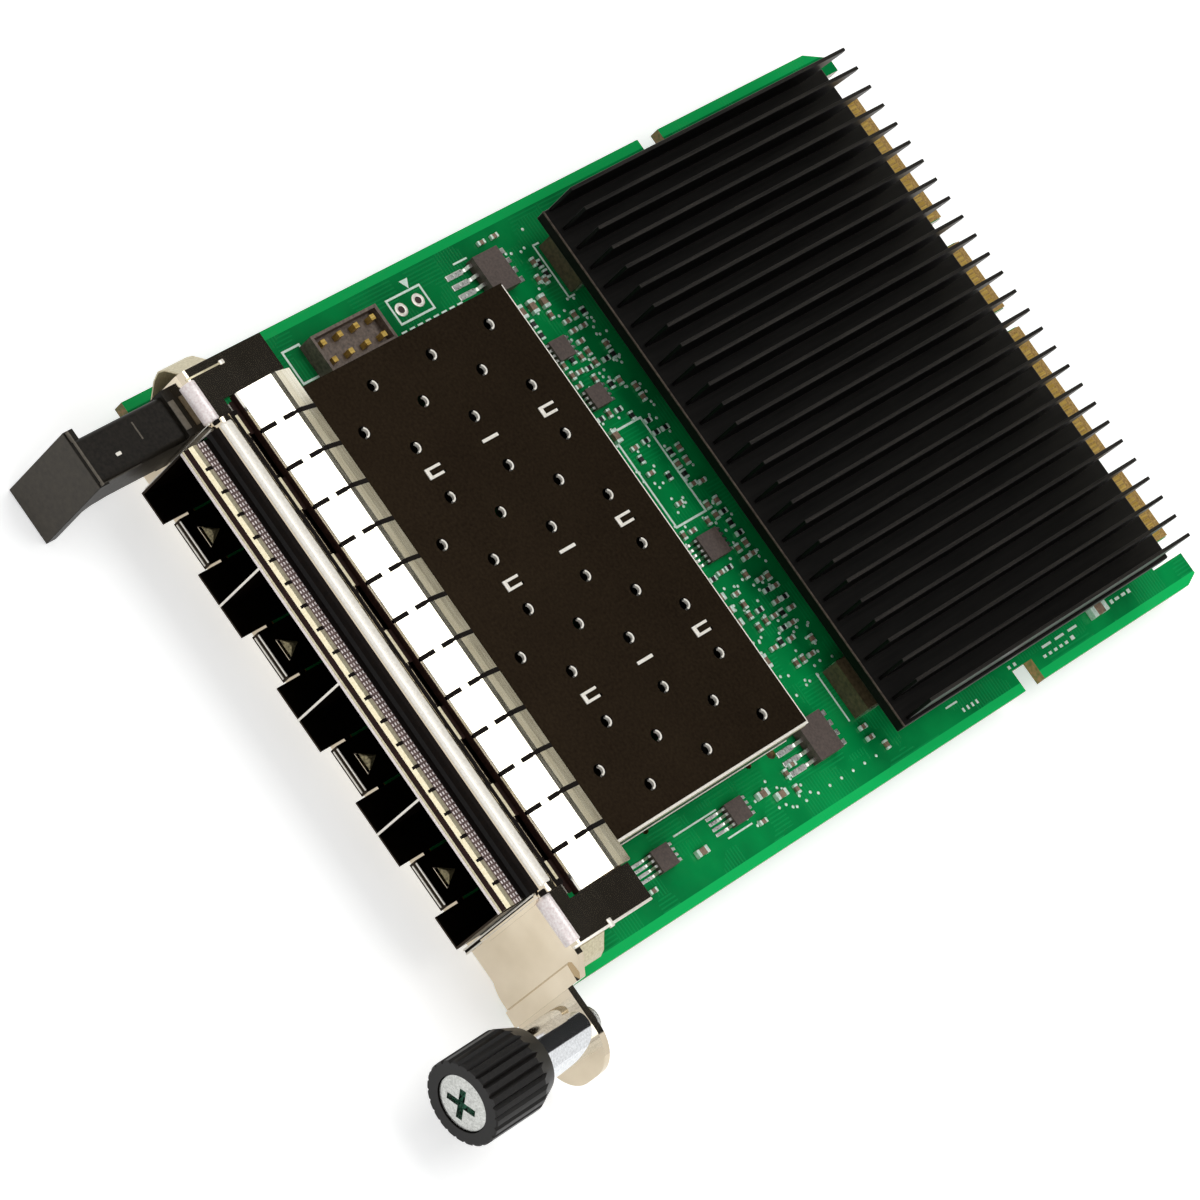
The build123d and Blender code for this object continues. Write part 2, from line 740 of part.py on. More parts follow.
# Chip resistors and capacitors
passive_spots = (
    (31.9, 41.0, 90),
    (33.0, 43.2, 90),
    (34.3, 97.5, 90),
    (-26.6, 52.4, 0),
    (-26.6, 54.2, 0),
    (-26.6, 56.0, 0),
    (-9.6, 51.5, 0),
    (-9.6, 53.3, 0),
    (11.5, 52.0, 90),
    (13.2, 52.0, 90),
    (14.9, 52.0, 90),
    (20.0, 50.5, 0),
    (20.0, 52.3, 0),
    (-17.5, 48.0, 90),
    (-3.0, 49.0, 0),
    (33.6, 29.5, 90),
)
with BuildPart() as small_passives:
    for x, y, turn in passive_spots:
        with Locations(Location((x, y, 0.3), (0, 0, turn))):
            Box(1.6, 0.8, 0.6)
save(small_passives, "small_passives")
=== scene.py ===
import math
import random

import bpy
from mathutils import Matrix, Vector


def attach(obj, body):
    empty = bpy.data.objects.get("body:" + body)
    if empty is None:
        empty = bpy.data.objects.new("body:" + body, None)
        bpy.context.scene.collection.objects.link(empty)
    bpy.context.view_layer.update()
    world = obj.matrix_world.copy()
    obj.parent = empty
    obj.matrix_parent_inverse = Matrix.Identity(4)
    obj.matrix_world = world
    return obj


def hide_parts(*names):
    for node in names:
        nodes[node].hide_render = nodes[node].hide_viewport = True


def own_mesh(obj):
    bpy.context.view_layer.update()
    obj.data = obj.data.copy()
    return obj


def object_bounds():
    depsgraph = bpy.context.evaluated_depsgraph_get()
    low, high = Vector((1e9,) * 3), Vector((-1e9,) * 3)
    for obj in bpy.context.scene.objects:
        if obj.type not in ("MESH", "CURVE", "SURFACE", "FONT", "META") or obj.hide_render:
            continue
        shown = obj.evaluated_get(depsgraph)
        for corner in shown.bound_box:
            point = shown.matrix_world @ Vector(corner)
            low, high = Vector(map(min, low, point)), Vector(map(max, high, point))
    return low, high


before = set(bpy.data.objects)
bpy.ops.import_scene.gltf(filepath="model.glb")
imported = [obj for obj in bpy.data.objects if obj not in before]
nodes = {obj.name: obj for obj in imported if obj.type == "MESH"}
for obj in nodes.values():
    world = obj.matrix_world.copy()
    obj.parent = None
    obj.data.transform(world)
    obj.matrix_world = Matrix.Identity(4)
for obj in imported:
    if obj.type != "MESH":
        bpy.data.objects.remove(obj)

# The card lies flat: X across it, Y from the faceplate to the edge connector, Z up from
# the board's component face. Sizes below are millimetres and mm() makes them metres.
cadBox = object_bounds()
cardBody = "card"
turningBody = "thumbscrew_turning"


def mm(value):
    return value / 1000


def linearColour(hexCode):
    # an sRGB hex value as the linear colour that shaders want
    channels = [int(hexCode[i:i + 2], 16) / 255 for i in (1, 3, 5)]
    return (*[c / 12.92 if c <= 0.04045 else ((c + 0.055) / 1.055) ** 2.4 for c in channels], 1.0)


# ---- materials


def addNode(tree, kind, settings=None, links=None, attributes=None, stops=()):
    # stops are a colour ramp's (position, hex colour) pairs
    node = tree.nodes.new(kind)
    for key, value in (attributes or {}).items():
        setattr(node, key, value)
    for key, value in (settings or {}).items():
        node.inputs[key].default_value = value
    for key, source in (links or {}).items():
        tree.links.new(source, node.inputs[key])
    for index, (position, hexCode) in enumerate(stops):
        node.color_ramp.elements[index].position = position
        node.color_ramp.elements[index].color = linearColour(hexCode)
    return node


def newMaterial(name, settings):
    material = bpy.data.materials.new(name)
    material.use_nodes = True
    tree = material.node_tree
    tree.nodes.clear()
    shader = addNode(tree, "ShaderNodeBsdfPrincipled", settings)
    addNode(tree, "ShaderNodeOutputMaterial", links={"Surface": shader.outputs["BSDF"]})
    place = addNode(tree, "ShaderNodeTexCoord")
    return material, tree, shader, place.outputs["Object"]


def grainPattern(tree, place, size, detail=3.0, stretch=(1, 1, 1)):
    # specks of a size in millimetres, drawn out along an axis where stretch is below 1
    drawn = addNode(tree, "ShaderNodeMapping", {"Scale": stretch}, {"Vector": place})
    specks = addNode(
        tree,
        "ShaderNodeTexNoise",
        {"Scale": 1000 / size, "Detail": detail},
        {"Vector": drawn.outputs["Vector"]},
    )
    return specks.outputs["Fac"]


def finishSurface(tree, shader, colour, fine, roughness, relief=None):
    # colour goes to the shader; the fine pattern varies the gloss, and stands up by relief,
    # which is its strength and its depth in millimetres
    tree.links.new(colour, shader.inputs["Base Color"])
    low, high = roughness
    gloss = addNode(tree, "ShaderNodeMapRange", {"To Min": low, "To Max": high}, {"Value": fine})
    tree.links.new(gloss.outputs["Result"], shader.inputs["Roughness"])
    if relief:
        strength, depth = relief
        lifted = addNode(
            tree, "ShaderNodeBump", {"Strength": strength, "Distance": mm(depth)}, {"Height": fine}
        )
        tree.links.new(lifted.outputs["Normal"], shader.inputs["Normal"])


def grainedMaterial(name, settings, colours, size, roughness, relief, detail=3.0, stretch=(1, 1, 1)):
    # one grain picks between two colours and varies the gloss and the relief with them
    material, tree, shader, place = newMaterial(name, settings)
    fine = grainPattern(tree, place, size, detail, stretch)
    tint = addNode(
        tree, "ShaderNodeValToRGB", links={"Fac": fine}, stops=((0.3, colours[0]), (0.7, colours[1]))
    )
    finishSurface(tree, shader, tint.outputs["Color"], fine, roughness, relief)
    return material


def solderMaskMaterial():
    # epoxy solder mask over copper: glossy green, tracks showing as faint raised lines,
    # pale cut laminate where the outline was routed
    material, tree, shader, place = newMaterial(
        "solderMaskGreen", {"Roughness": 0.2, "IOR": 1.5, "Specular IOR Level": 0.3}
    )
    mask = addNode(
        tree,
        "ShaderNodeValToRGB",
        links={"Fac": grainPattern(tree, place, 9.0, 4.0)},
        stops=((0.3, "#04733a"), (0.7, "#06984c")),
    )
    # bundles of parallel tracks in 4.2 mm cells, 0.45 mm apart so that they show
    cells = addNode(
        tree,
        "ShaderNodeTexVoronoi",
        {"Scale": 1000 / 4.2, "Randomness": 0.9},
        {"Vector": place},
        {"distance": "CHEBYCHEV"},
    )
    parts = addNode(tree, "ShaderNodeSeparateColor", links={"Color": cells.outputs["Color"]})
    axes = addNode(tree, "ShaderNodeSeparateXYZ", links={"Vector": place})
    above = {"operation": "GREATER_THAN"}
    times = {"operation": "MULTIPLY"}
    positive = {"operation": "ABSOLUTE"}
    chosen = addNode(tree, "ShaderNodeMath", {1: 0.5}, {0: parts.outputs["Red"]}, above)
    line = addNode(
        tree,
        "ShaderNodeMix",
        links={"Factor": chosen.outputs[0], "A": axes.outputs["X"], "B": axes.outputs["Y"]},
    )
    waves = addNode(tree, "ShaderNodeMath", {1: 1000 / 0.45}, {0: line.outputs["Result"]}, times)
    saw = addNode(tree, "ShaderNodeMath", {}, {0: waves.outputs[0]}, {"operation": "FRACT"})
    track = addNode(tree, "ShaderNodeMath", {1: 0.62}, {0: saw.outputs[0]}, above)
    crowded = addNode(tree, "ShaderNodeMath", {1: 0.45}, {0: parts.outputs["Green"]}, above)
    shown = addNode(tree, "ShaderNodeMath", {}, {0: track.outputs[0], 1: crowded.outputs[0]}, times)
    soft = addNode(tree, "ShaderNodeMath", {1: 0.4}, {0: shown.outputs[0]}, times)
    copper = addNode(
        tree,
        "ShaderNodeMix",
        {"B": linearColour("#12a458")},
        {"Factor": soft.outputs[0], "A": mask.outputs["Color"]},
        {"data_type": "RGBA"},
    )
    # along both long edges there is no copper, so the laminate shines through lighter
    off = addNode(tree, "ShaderNodeMath", {}, {0: axes.outputs["X"]}, positive)
    border = addNode(tree, "ShaderNodeMath", {1: mm(36.9)}, {0: off.outputs[0]}, above)
    bare = addNode(
        tree,
        "ShaderNodeMix",
        {"B": linearColour("#14bd60")},
        {"Factor": border.outputs[0], "A": copper.outputs["Result"]},
        {"data_type": "RGBA"},
    )
    # the routed edge shows where the surface stands upright
    facing = addNode(tree, "ShaderNodeNewGeometry")
    normal = addNode(tree, "ShaderNodeSeparateXYZ", links={"Vector": facing.outputs["Normal"]})
    upright = addNode(tree, "ShaderNodeMath", {}, {0: normal.outputs["Z"]}, positive)
    cut = addNode(tree, "ShaderNodeMath", {1: 0.5}, {0: upright.outputs[0]}, {"operation": "LESS_THAN"})
    edge = addNode(
        tree,
        "ShaderNodeValToRGB",
        links={"Fac": grainPattern(tree, place, 0.5)},
        stops=((0.35, "#6f7a38"), (0.65, "#b08a52")),
    )
    finished = addNode(
        tree,
        "ShaderNodeMix",
        {},
        {"Factor": cut.outputs[0], "A": bare.outputs["Result"], "B": edge.outputs["Color"]},
        {"data_type": "RGBA"},
    )
    # the soft light comes from the right, so the mask is deeper on the left
    side = addNode(
        tree,
        "ShaderNodeMapRange",
        {"From Min": mm(-36), "From Max": mm(36), "To Min": 0.8, "To Max": 1.12},
        {"Value": axes.outputs["X"]},
    )
    toned = addNode(
        tree,
        "ShaderNodeHueSaturation",
        links={"Color": finished.outputs["Result"], "Value": side.outputs["Result"]},
    )
    finishSurface(tree, shader, toned.outputs["Color"], grainPattern(tree, place, 1.5), (0.12, 0.22))
    raised = addNode(
        tree, "ShaderNodeBump", {"Strength": 0.35, "Distance": mm(0.035)}, {"Height": shown.outputs[0]}
    )
    tree.links.new(raised.outputs["Normal"], shader.inputs["Normal"])
    return material


def goldMaterial():
    # hard gold over nickel: deep yellow, smooth, lightly rubbed along the way it is plugged in
    settings = {"Metallic": 0.6, "Roughness": 0.3}
    colours = ("#b8913a", "#e2c26a")
    return grainedMaterial("hardGold", settings, colours, 1.2, (0.25, 0.42), None, 3.0, (6.0, 0.5, 1.0))


def platedSheetMaterial():
    # nickel-plated steel sheet: warm, fairly bright, with faint rolling lines across the card
    material, tree, shader, place = newMaterial(
        "nickelPlatedSheet", {"Metallic": 1.0, "Roughness": 0.22}
    )
    blotch = addNode(
        tree,
        "ShaderNodeValToRGB",
        links={"Fac": grainPattern(tree, place, 6.0)},
        stops=((0.3, "#cfc1a9"), (0.7, "#ddd0ba")),
    )
    rolling = grainPattern(tree, place, 0.35, 2.0, (0.06, 1.0, 1.0))
    finishSurface(tree, shader, blotch.outputs["Color"], rolling, (0.06, 0.12), (0.02, 0.01))
    return material


def springStripMaterial():
    # tin-plated beryllium copper: very bright and smooth, slightly yellow
    settings = {"Metallic": 1.0, "Roughness": 0.18}
    colours = ("#dcd6c6", "#f1eee4")
    return grainedMaterial(
        "tinPlatedSpring", settings, colours, 0.3, (0.14, 0.26), (0.08, 0.01), 2.0, (0.1, 1.0, 1.0)
    )


def cageMaterial():
    # dull nickel silver, dark brown under soft light, speckled like rolled and tumbled sheet
    material, tree, shader, place = newMaterial("darkNickelSilver", {"Metallic": 1.0, "Roughness": 0.4})
    fine = grainPattern(tree, place, 0.35, 4.0)
    broad = grainPattern(tree, place, 7.0, 2.0)
    both = addNode(tree, "ShaderNodeMix", {"Factor": 0.3}, {"A": fine, "B": broad})
    tint = addNode(
        tree,
        "ShaderNodeValToRGB",
        links={"Fac": both.outputs["Result"]},
        stops=((0.3, "#231b13"), (0.7, "#30271c")),
    )
    finishSurface(tree, shader, tint.outputs["Color"], fine, (0.28, 0.42), (0.06, 0.01))
    return material


def anodisedMaterial():
    # black anodised aluminium extrusion: satin black, fine drawn lines along the fins
    material, tree, shader, place = newMaterial(
        "blackAnodisedAluminium", {"Metallic": 0.75, "Roughness": 0.42}
    )
    drawn = grainPattern(tree, place, 0.3, 3.0, (1.0, 0.04, 1.0))
    black = addNode(
        tree, "ShaderNodeValToRGB", links={"Fac": drawn}, stops=((0.3, "#070605"), (0.7, "#12100e"))
    )
    crestHighlight = addNode(
        tree, "ShaderNodeValToRGB", links={"Fac": drawn}, stops=((0.3, "#191715"), (0.7, "#2b2825"))
    )
    # the crests of the fins are painted paler, a painted highlight along their top edges
    axes = addNode(tree, "ShaderNodeSeparateXYZ", links={"Vector": place})
    crest = addNode(
        tree, "ShaderNodeMath", {1: mm(10.9)}, {0: axes.outputs["Z"]}, {"operation": "GREATER_THAN"}
    )
    shade = addNode(
        tree,
        "ShaderNodeMix",
        {},
        {"Factor": crest.outputs[0], "A": black.outputs["Color"], "B": crestHighlight.outputs["Color"]},
        {"data_type": "RGBA"},
    )
    finishSurface(tree, shader, shade.outputs["Result"], drawn, (0.34, 0.52), (0.15, 0.02))
    return material


def steelMaterial(name, dark, light, low, high, metal=1.0):
    # plated or bare metal with a fine barrel-tumbled grain that breaks up its highlights
    settings = {"Metallic": metal, "Roughness": low}
    return grainedMaterial(name, settings, (dark, light), 0.25, (low, high), (0.06, 0.01))


def mouldedMaterial(name, dark, light, low, high, grainSize=0.4, shine=0.5):
    # moulded plastic with the fine spark-eroded texture of its tool
    settings = {"Roughness": low, "IOR": 1.5, "Specular IOR Level": shine}
    return grainedMaterial(name, settings, (dark, light), grainSize, (low, high), (0.2, 0.02), 4.0)


boardGreen = solderMaskMaterial()
hardGold = goldMaterial()
nickelSheet = platedSheetMaterial()
springStrip = springStripMaterial()
cageSheet = cageMaterial()
anodised = anodisedMaterial()

# zinc plate is pale grey with a soft mirror, chrome is bright and sharp, nickel is warmer and
# duller, and tin and solder are whitish and uneven
zincSteel = steelMaterial("zincPlatedSteel", "#a9aaa6", "#cfd0cc", 0.2, 0.36)
chromeSteel = steelMaterial("chromedBrass", "#d4d6d8", "#eceef0", 0.05, 0.12)
lidNickel = steelMaterial("nickelPlatedCopper", "#8f8c84", "#b4b0a6", 0.3, 0.45)
tinnedLead = steelMaterial("tinnedLead", "#cfd2cc", "#eef0ea", 0.22, 0.36)
solderBright = steelMaterial("freshSolder", "#b9dcc6", "#eefaf2", 0.35, 0.5, 0.25)

# painted highlights for sheared and folded edges, pale and less of a mirror; the first also makes the
# test pads' rings
paleNickelAndHighlight = steelMaterial("paleNickelAndPaintedHighlight", "#efe8da", "#fbf7ee", 0.3, 0.45, 0.3)
# pinkish painted highlight on the faceplate's bends, the cage cover's front edge and the fine lines of
# the cage lip
pinkHighlight = steelMaterial("paintedPinkHighlight", "#e6d6d3", "#fff8f5", 0.3, 0.45, 0.2)
# cream spring metal of the clips and the cage mouth springs, also used for thin painted highlight lines
# on the cage side, the flange and the finger hooks
springCreamAndHighlight = steelMaterial("springCreamAndPaintedHighlight", "#c2b795", "#ded5b8", 0.35, 0.5, 0.45)
brass = steelMaterial("agedBrass", "#4d4530", "#a39873", 0.35, 0.5, 0.5)
goldLand = steelMaterial("goldLand", "#94703a", "#cfab66", 0.3, 0.45, 0.4)
# dark green for the screw head's cross recess: painted shade with a painted green reflection
recessShadeAndReflection = steelMaterial("recessShadeAndGreenReflection", "#1c4a38", "#3c6e58", 0.3, 0.5)

# moulded plastics: near black with a dull sheen, and paler copies that are painted light
tabPlastic = mouldedMaterial("blackNylon", "#12100c", "#221e19", 0.35, 0.5, 0.4, 0.12)
# a lighter copy of the tab's nylon: the pad's lit front face, and a painted highlight on the arm's side
padFaceAndHighlight = mouldedMaterial("lighterPadFaceAndHighlight", "#38342e", "#464139", 0.5, 0.65, 0.5, 0.2)
# paler nylon for the grey strip at the tab's root, and for a light line on the rib and the pad's top
# edge, which are painted highlights
paleNylonMarks = mouldedMaterial("paleNylonMarks", "#59534a", "#6e675c", 0.5, 0.7, 0.4, 0.2)
# painted highlight along the heatsink base's front top edge
paintedEdgeHighlight = mouldedMaterial("paintedEdgeHighlight", "#3a312a", "#5c5046", 0.4, 0.6, 0.4, 0.2)
knobPlastic = mouldedMaterial("blackAcetal", "#080706", "#14110f", 0.3, 0.46, 0.4, 0.25)
socketPlastic = mouldedMaterial("liquidCrystalPolymer", "#0c0c0c", "#1c1b1a", 0.4, 0.6)
headerPlastic = mouldedMaterial("headerNylon", "#4c4038", "#7a6a5e", 0.4, 0.6)
# black foam seal; its black also stands in for the shade in the band between the cage's springs and the
# window bead
foamAndShade = mouldedMaterial("blackFoamAndShade", "#080707", "#171314", 0.8, 0.95, 0.6)
siliconePad = mouldedMaterial("siliconePad", "#62666a", "#7c8084", 0.6, 0.8)

# resins, laminate and fired ceramic of the parts on the board, matt and finely grained
chipEpoxy = mouldedMaterial("mouldedEpoxy", "#40352f", "#584a43", 0.4, 0.6, 0.25)
tantalumResin = mouldedMaterial("tantalumResin", "#3a3122", "#5c5038", 0.35, 0.5)
laminate = mouldedMaterial("bareLaminate", "#12402a", "#1d5a3a", 0.35, 0.5)
firedCeramic = mouldedMaterial("firedCeramic", "#6c5848", "#9a8068", 0.35, 0.5)
blackCeramic = mouldedMaterial("resistorGlaze", "#0d0f0e", "#1c201d", 0.3, 0.45)
whiteInk = mouldedMaterial("epoxyInk", "#cdeed7", "#effbf2", 0.45, 0.6)

# painted shade: the dark in slits, lanes and holes
holeShade = mouldedMaterial("paintedHoleShade", "#1a0f0a", "#3a2018", 0.5, 0.7)
laneShade = mouldedMaterial("paintedLaneShade", "#4f3f3b", "#7d6864", 0.5, 0.7, 0.4, 0.2)
slotDarkShade = mouldedMaterial("paintedSlotShade", "#160a07", "#2c1711", 0.6, 0.8, 0.4, 0.15)
slitShade = mouldedMaterial("slitShade", "#0a0706", "#16100d", 0.7, 0.9, 0.4, 0.1)

finishes = {
    "circuit_board": boardGreen,
    "edge_contacts_top": hardGold,
    "edge_contacts_bottom": hardGold,
    "faceplate": nickelSheet,
    "top_finger_strip": springStrip,
    "bottom_finger_strip": springStrip,
    "side_clip_left": springCreamAndHighlight,
    "side_clip_right": springCreamAndHighlight,
    "faceplate_screws": zincSteel,
    "faceplate_nuts": zincSteel,
    "cage_body": cageSheet,
    "cage_cover": cageSheet,
    "cage_front_springs": springCreamAndHighlight,
    "window_seal": foamAndShade,
    "port_connectors": socketPlastic,
    "port_contacts": hardGold,
    "heatsink": anodised,
    "heatsink_screws": zincSteel,
    "controller_chip": laminate,
    "controller_lid": lidNickel,
    "thermal_pad": siliconePad,
    "pull_tab": tabPlastic,
    "pull_tab_screws": zincSteel,
    "thumbscrew_barrel": chromeSteel,
    "thumbscrew_knob": knobPlastic,
    "thumbscrew_screw": zincSteel,
    "thumbscrew_spring": zincSteel,
    "thrust_washer": zincSteel,
    "retaining_ring": zincSteel,
    "header_body": headerPlastic,
    "header_pins": hardGold,
    "power_chips": chipEpoxy,
    "power_chip_leads": tinnedLead,
    "small_chips": chipEpoxy,
    "small_chip_leads": tinnedLead,
    "box_capacitors": tantalumResin,
    "capacitor_terminals": tinnedLead,
    "small_passives": firedCeramic,
}
for name, material in finishes.items():
    node = nodes[name]
    node.data.materials.clear()
    node.data.materials.append(material)
print("materials on", len(finishes), "nodes")


# ---- modelling helpers


def nothingSelected():
    if bpy.context.mode != "OBJECT":
        bpy.ops.object.mode_set(mode="OBJECT")
    bpy.ops.object.select_all(action="DESELECT")


def applyAll(piece):
    nothingSelected()
    piece.select_set(True)
    bpy.context.view_layer.objects.active = piece
    for modifier in list(piece.modifiers):
        bpy.ops.object.modifier_apply(modifier=modifier.name)
    bpy.ops.object.transform_apply(location=True, rotation=True, scale=True)


def merged(pieces):
    # the pieces as one mesh, each with its modifiers and place applied first
    for piece in pieces:
        applyAll(piece)
    nothingSelected()
    for piece in pieces:
        piece.select_set(True)
    bpy.context.view_layer.objects.active = pieces[0]
    bpy.ops.object.join()
    return bpy.context.active_object


def editSelected(piece, kind, wanted):
    # opens edit mode with only the wanted edges or polygons selected
    for element in (*piece.data.vertices, *piece.data.edges, *piece.data.polygons):
        element.select = False
    for element in getattr(piece.data, kind):
        element.select = wanted(element)
    bpy.context.tool_settings.mesh_select_mode = (False, kind == "edges", kind == "polygons")
    bpy.ops.object.mode_set(mode="EDIT")


def finishedWith(piece, width, material, segments=2):
    # edges broken by a bevel of a width in millimetres
    edge = piece.modifiers.new("edge", "BEVEL")
    edge.width = mm(width)
    edge.segments = segments
    piece.data.materials.append(material)
    return piece


def bevelledBox(name, low, high, width, material, segments=2):
    # a box between two corners in millimetres, its edges broken by a bevel
    nothingSelected()
    middle = [mm((a + b) / 2) for a, b in zip(low, high)]
    bpy.ops.mesh.primitive_cube_add(size=1, location=middle)
    piece = bpy.context.active_object
    piece.name = name
    piece.scale = [mm(b - a) for a, b in zip(low, high)]
    bpy.ops.object.transform_apply(location=False, rotation=False, scale=True)
    return finishedWith(piece, width, material, segments)


def boxRow(rows):
    # bevelled boxes from rows of name, low corner, high corner, bevel width and material
    return [bevelledBox(*row) for row in rows]


def leaning(name, left, right, rear, front, thick, material):
    # a strip across the card that leans from its rear point (y, z) to its front point
    reach = math.dist(rear, front)
    low = (left, -reach / 2, -thick / 2)
    high = (right, reach / 2, thick / 2)
    strip = bevelledBox(name, low, high, thick * 0.3, material)
    strip.rotation_euler = (math.atan2(rear[1] - front[1], rear[0] - front[0]), 0, 0)
    strip.location = (strip.location.x, mm((rear[0] + front[0]) / 2), mm((rear[1] + front[1]) / 2))
    return strip


def joined(name, pieces, body):
    # one object out of several, riding on its body
    whole = merged(pieces)
    whole.name = name
    whole.data.name = name
    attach(whole, body)
    return whole


def copyAt(piece, x, y, turn=0.0):
    # a copy with its own mesh; piece was modelled at the world's origin
    twin = piece.copy()
    twin.data = piece.data.copy()
    bpy.context.collection.objects.link(twin)
    twin.location = (mm(x), mm(y), piece.location.z)
    twin.rotation_euler = (0, 0, math.radians(turn))
    return twin


# ---- legend and pads printed on the board


def inked(name, x, y, width, depth, line):
    # a printed outline: a plate inset to its line width, the middle taken out, then raised
    nothingSelected()
    bpy.ops.mesh.primitive_plane_add(size=1, location=(mm(x), mm(y), 0))
    piece = bpy.context.active_object
    piece.name = name
    piece.scale = (mm(width), mm(depth), 1)
    bpy.ops.object.transform_apply(location=True, rotation=True, scale=True)
    bpy.ops.object.mode_set(mode="EDIT")
    bpy.ops.mesh.select_mode(type="FACE")
    bpy.ops.mesh.select_all(action="SELECT")
    if line:
        bpy.ops.mesh.inset(thickness=mm(line))
        bpy.ops.mesh.delete(type="FACE")
        bpy.ops.mesh.select_all(action="SELECT")
    bpy.ops.mesh.extrude_region_move(TRANSFORM_OT_translate={"value": (0, 0, mm(legend["thick"]))})
    bpy.ops.mesh.select_all(action="SELECT")
    bpy.ops.mesh.normals_make_consistent(inside=False)
    bpy.ops.object.mode_set(mode="OBJECT")
    piece.data.materials.append(whiteInk)
    return piece


legend = {
    "thick": 0.03,
    "line": 0.26,
    "frames": (
        (-33.15, 40.15, 3.3, 5.5),
        (-32.85, 22.8, 4.3, 2.8),
        (-3.9, 55.7, 12.8, 5.2),
        (33.0, 66.0, 1.2, 3.0),
    ),
    "bars": (
        (-29.2, 59.75, 7.0, 0.22),
        (-32.7, 60.2, 0.22, 1.0),
        (-25.7, 60.2, 0.22, 1.0),
        (27.1, 57.7, 6.4, 0.22),
        (30.6, 31.2, 0.2, 7.0),
        (30.6, 19.0, 0.2, 2.4),
        (33.9, 35.8, 0.2, 4.0),
        (34.9, 93.6, 0.3, 1.6),
        (34.9, 91.2, 0.3, 1.6),
        (34.9, 88.8, 0.3, 1.6),
        (35.9, 87.6, 0.35, 0.5),
        (35.9, 88.6, 0.35, 0.5),
        (35.9, 89.6, 0.35, 0.5),
        (35.9, 90.6, 0.35, 0.5),
        (35.9, 91.6, 0.35, 0.5),
        (35.8, 92.8, 0.5, 0.6),
        (34.8, 101.2, 0.5, 0.5),
        (34.8, 102.2, 0.35, 0.7),
        (34.8, 103.4, 0.35, 0.7),
        (34.8, 104.4, 0.5, 0.5),
        (34.8, 82.0, 0.4, 0.4),
        (34.8, 83.0, 0.4, 0.4),
        (36.0, 72.6, 0.5, 0.3),
        (36.0, 73.4, 0.5, 0.3),
        (36.0, 74.2, 0.5, 0.3),
        (36.0, 75.0, 0.5, 0.3),
        (-34.9, 49.6, 0.22, 2.2),
        (33.2, 90.0, 1.4, 0.22),
        (33.2, 88.2, 0.22, 1.4),
        (34.8, 71.5, 0.22, 2.0),
        (-35.5, 100.5, 0.22, 3.0),
    ),
    "dashes": tuple((-30.6, 37.2 + 1.27 * index, 0.5, 0.8) for index in range(8)),
    "triangleRadius": 0.75,
    "trianglePlace": (-35.6, 41.3),
}
printed = []
for x, y, width, depth in legend["frames"]:
    printed.append(inked("frame", x, y, width, depth, legend["line"]))
for x, y, width, depth in legend["bars"] + legend["dashes"]:
    printed.append(inked("bar", x, y, width, depth, 0))
nothingSelected()
bpy.ops.mesh.primitive_cylinder_add(
    vertices=3,
    radius=mm(legend["triangleRadius"]),
    depth=mm(legend["thick"]),
    rotation=(0, 0, math.radians(150)),
)
triangle = bpy.context.active_object
triangle.location = [mm(value) for value in (*legend["trianglePlace"], legend["thick"] / 2)]
triangle.data.materials.append(whiteInk)
printed.append(triangle)
joined("boardLegend", printed, cardBody)

# solder dots over the filled vias, and two ringed test pads
vias = {
    "dot": 0.2,
    "flat": 0.35,
    "column": tuple((35.0, 46.0 + 2.0 * index) for index in range(8)),
    "first": (35.0, 44.4),
    "scatter": ((190, (-35.5, 25.0), (51.6, 61.5)), (20, (30.4, 34.8), (34.0, 48.0))),
    "padRing": 0.62,
    "padWire": 0.22,
    "padFlat": 0.3,
    "padHole": 0.5,
    "pads": ((-33.1, 38.7), (-33.2, 41.45)),
}
nothingSelected()
bpy.ops.mesh.primitive_uv_sphere_add(segments=12, ring_count=8, radius=mm(vias["dot"]))
via = bpy.context.active_object
via.scale = (1, 1, vias["flat"])
via.data.materials.append(solderBright)
bpy.ops.object.transform_apply(location=False, rotation=False, scale=True)
bpy.ops.object.shade_smooth()
rng = random.Random(4)
spots = list(vias["column"])
for count, across, along in vias["scatter"]:
    for index in range(count):
        spots.append((rng.uniform(*across), rng.uniform(*along)))
rings = [copyAt(via, x, y) for x, y in spots] + [via]
via.location = (mm(vias["first"][0]), mm(vias["first"][1]), 0)
joined("viaRings", rings, cardBody)

nothingSelected()
bpy.ops.mesh.primitive_torus_add(
    major_radius=mm(vias["padRing"]),
    minor_radius=mm(vias["padWire"]),
    major_segments=32,
    minor_segments=10,
)
ring = bpy.context.active_object
ring.scale = (1, 1, vias["padFlat"])
bpy.ops.object.transform_apply(location=False, rotation=False, scale=True)
bpy.ops.object.shade_smooth()
ring.data.materials.append(paleNickelAndHighlight)
# a dark disc in each pad's hole, painted shade
bpy.ops.mesh.primitive_cylinder_add(vertices=24, radius=mm(vias["padHole"]), depth=mm(0.02))
drop = bpy.context.active_object
drop.location = (0, 0, mm(0.01))
drop.data.materials.append(holeShade)
merged([ring, drop])
rings = [copyAt(ring, x, y) for x, y in vias["pads"][1:]] + [ring]
ring.location = (mm(vias["pads"][0][0]), mm(vias["pads"][0][1]), 0)
joined("testPads", rings, cardBody)
print("legend and pads done")


# ---- solder and the smallest parts

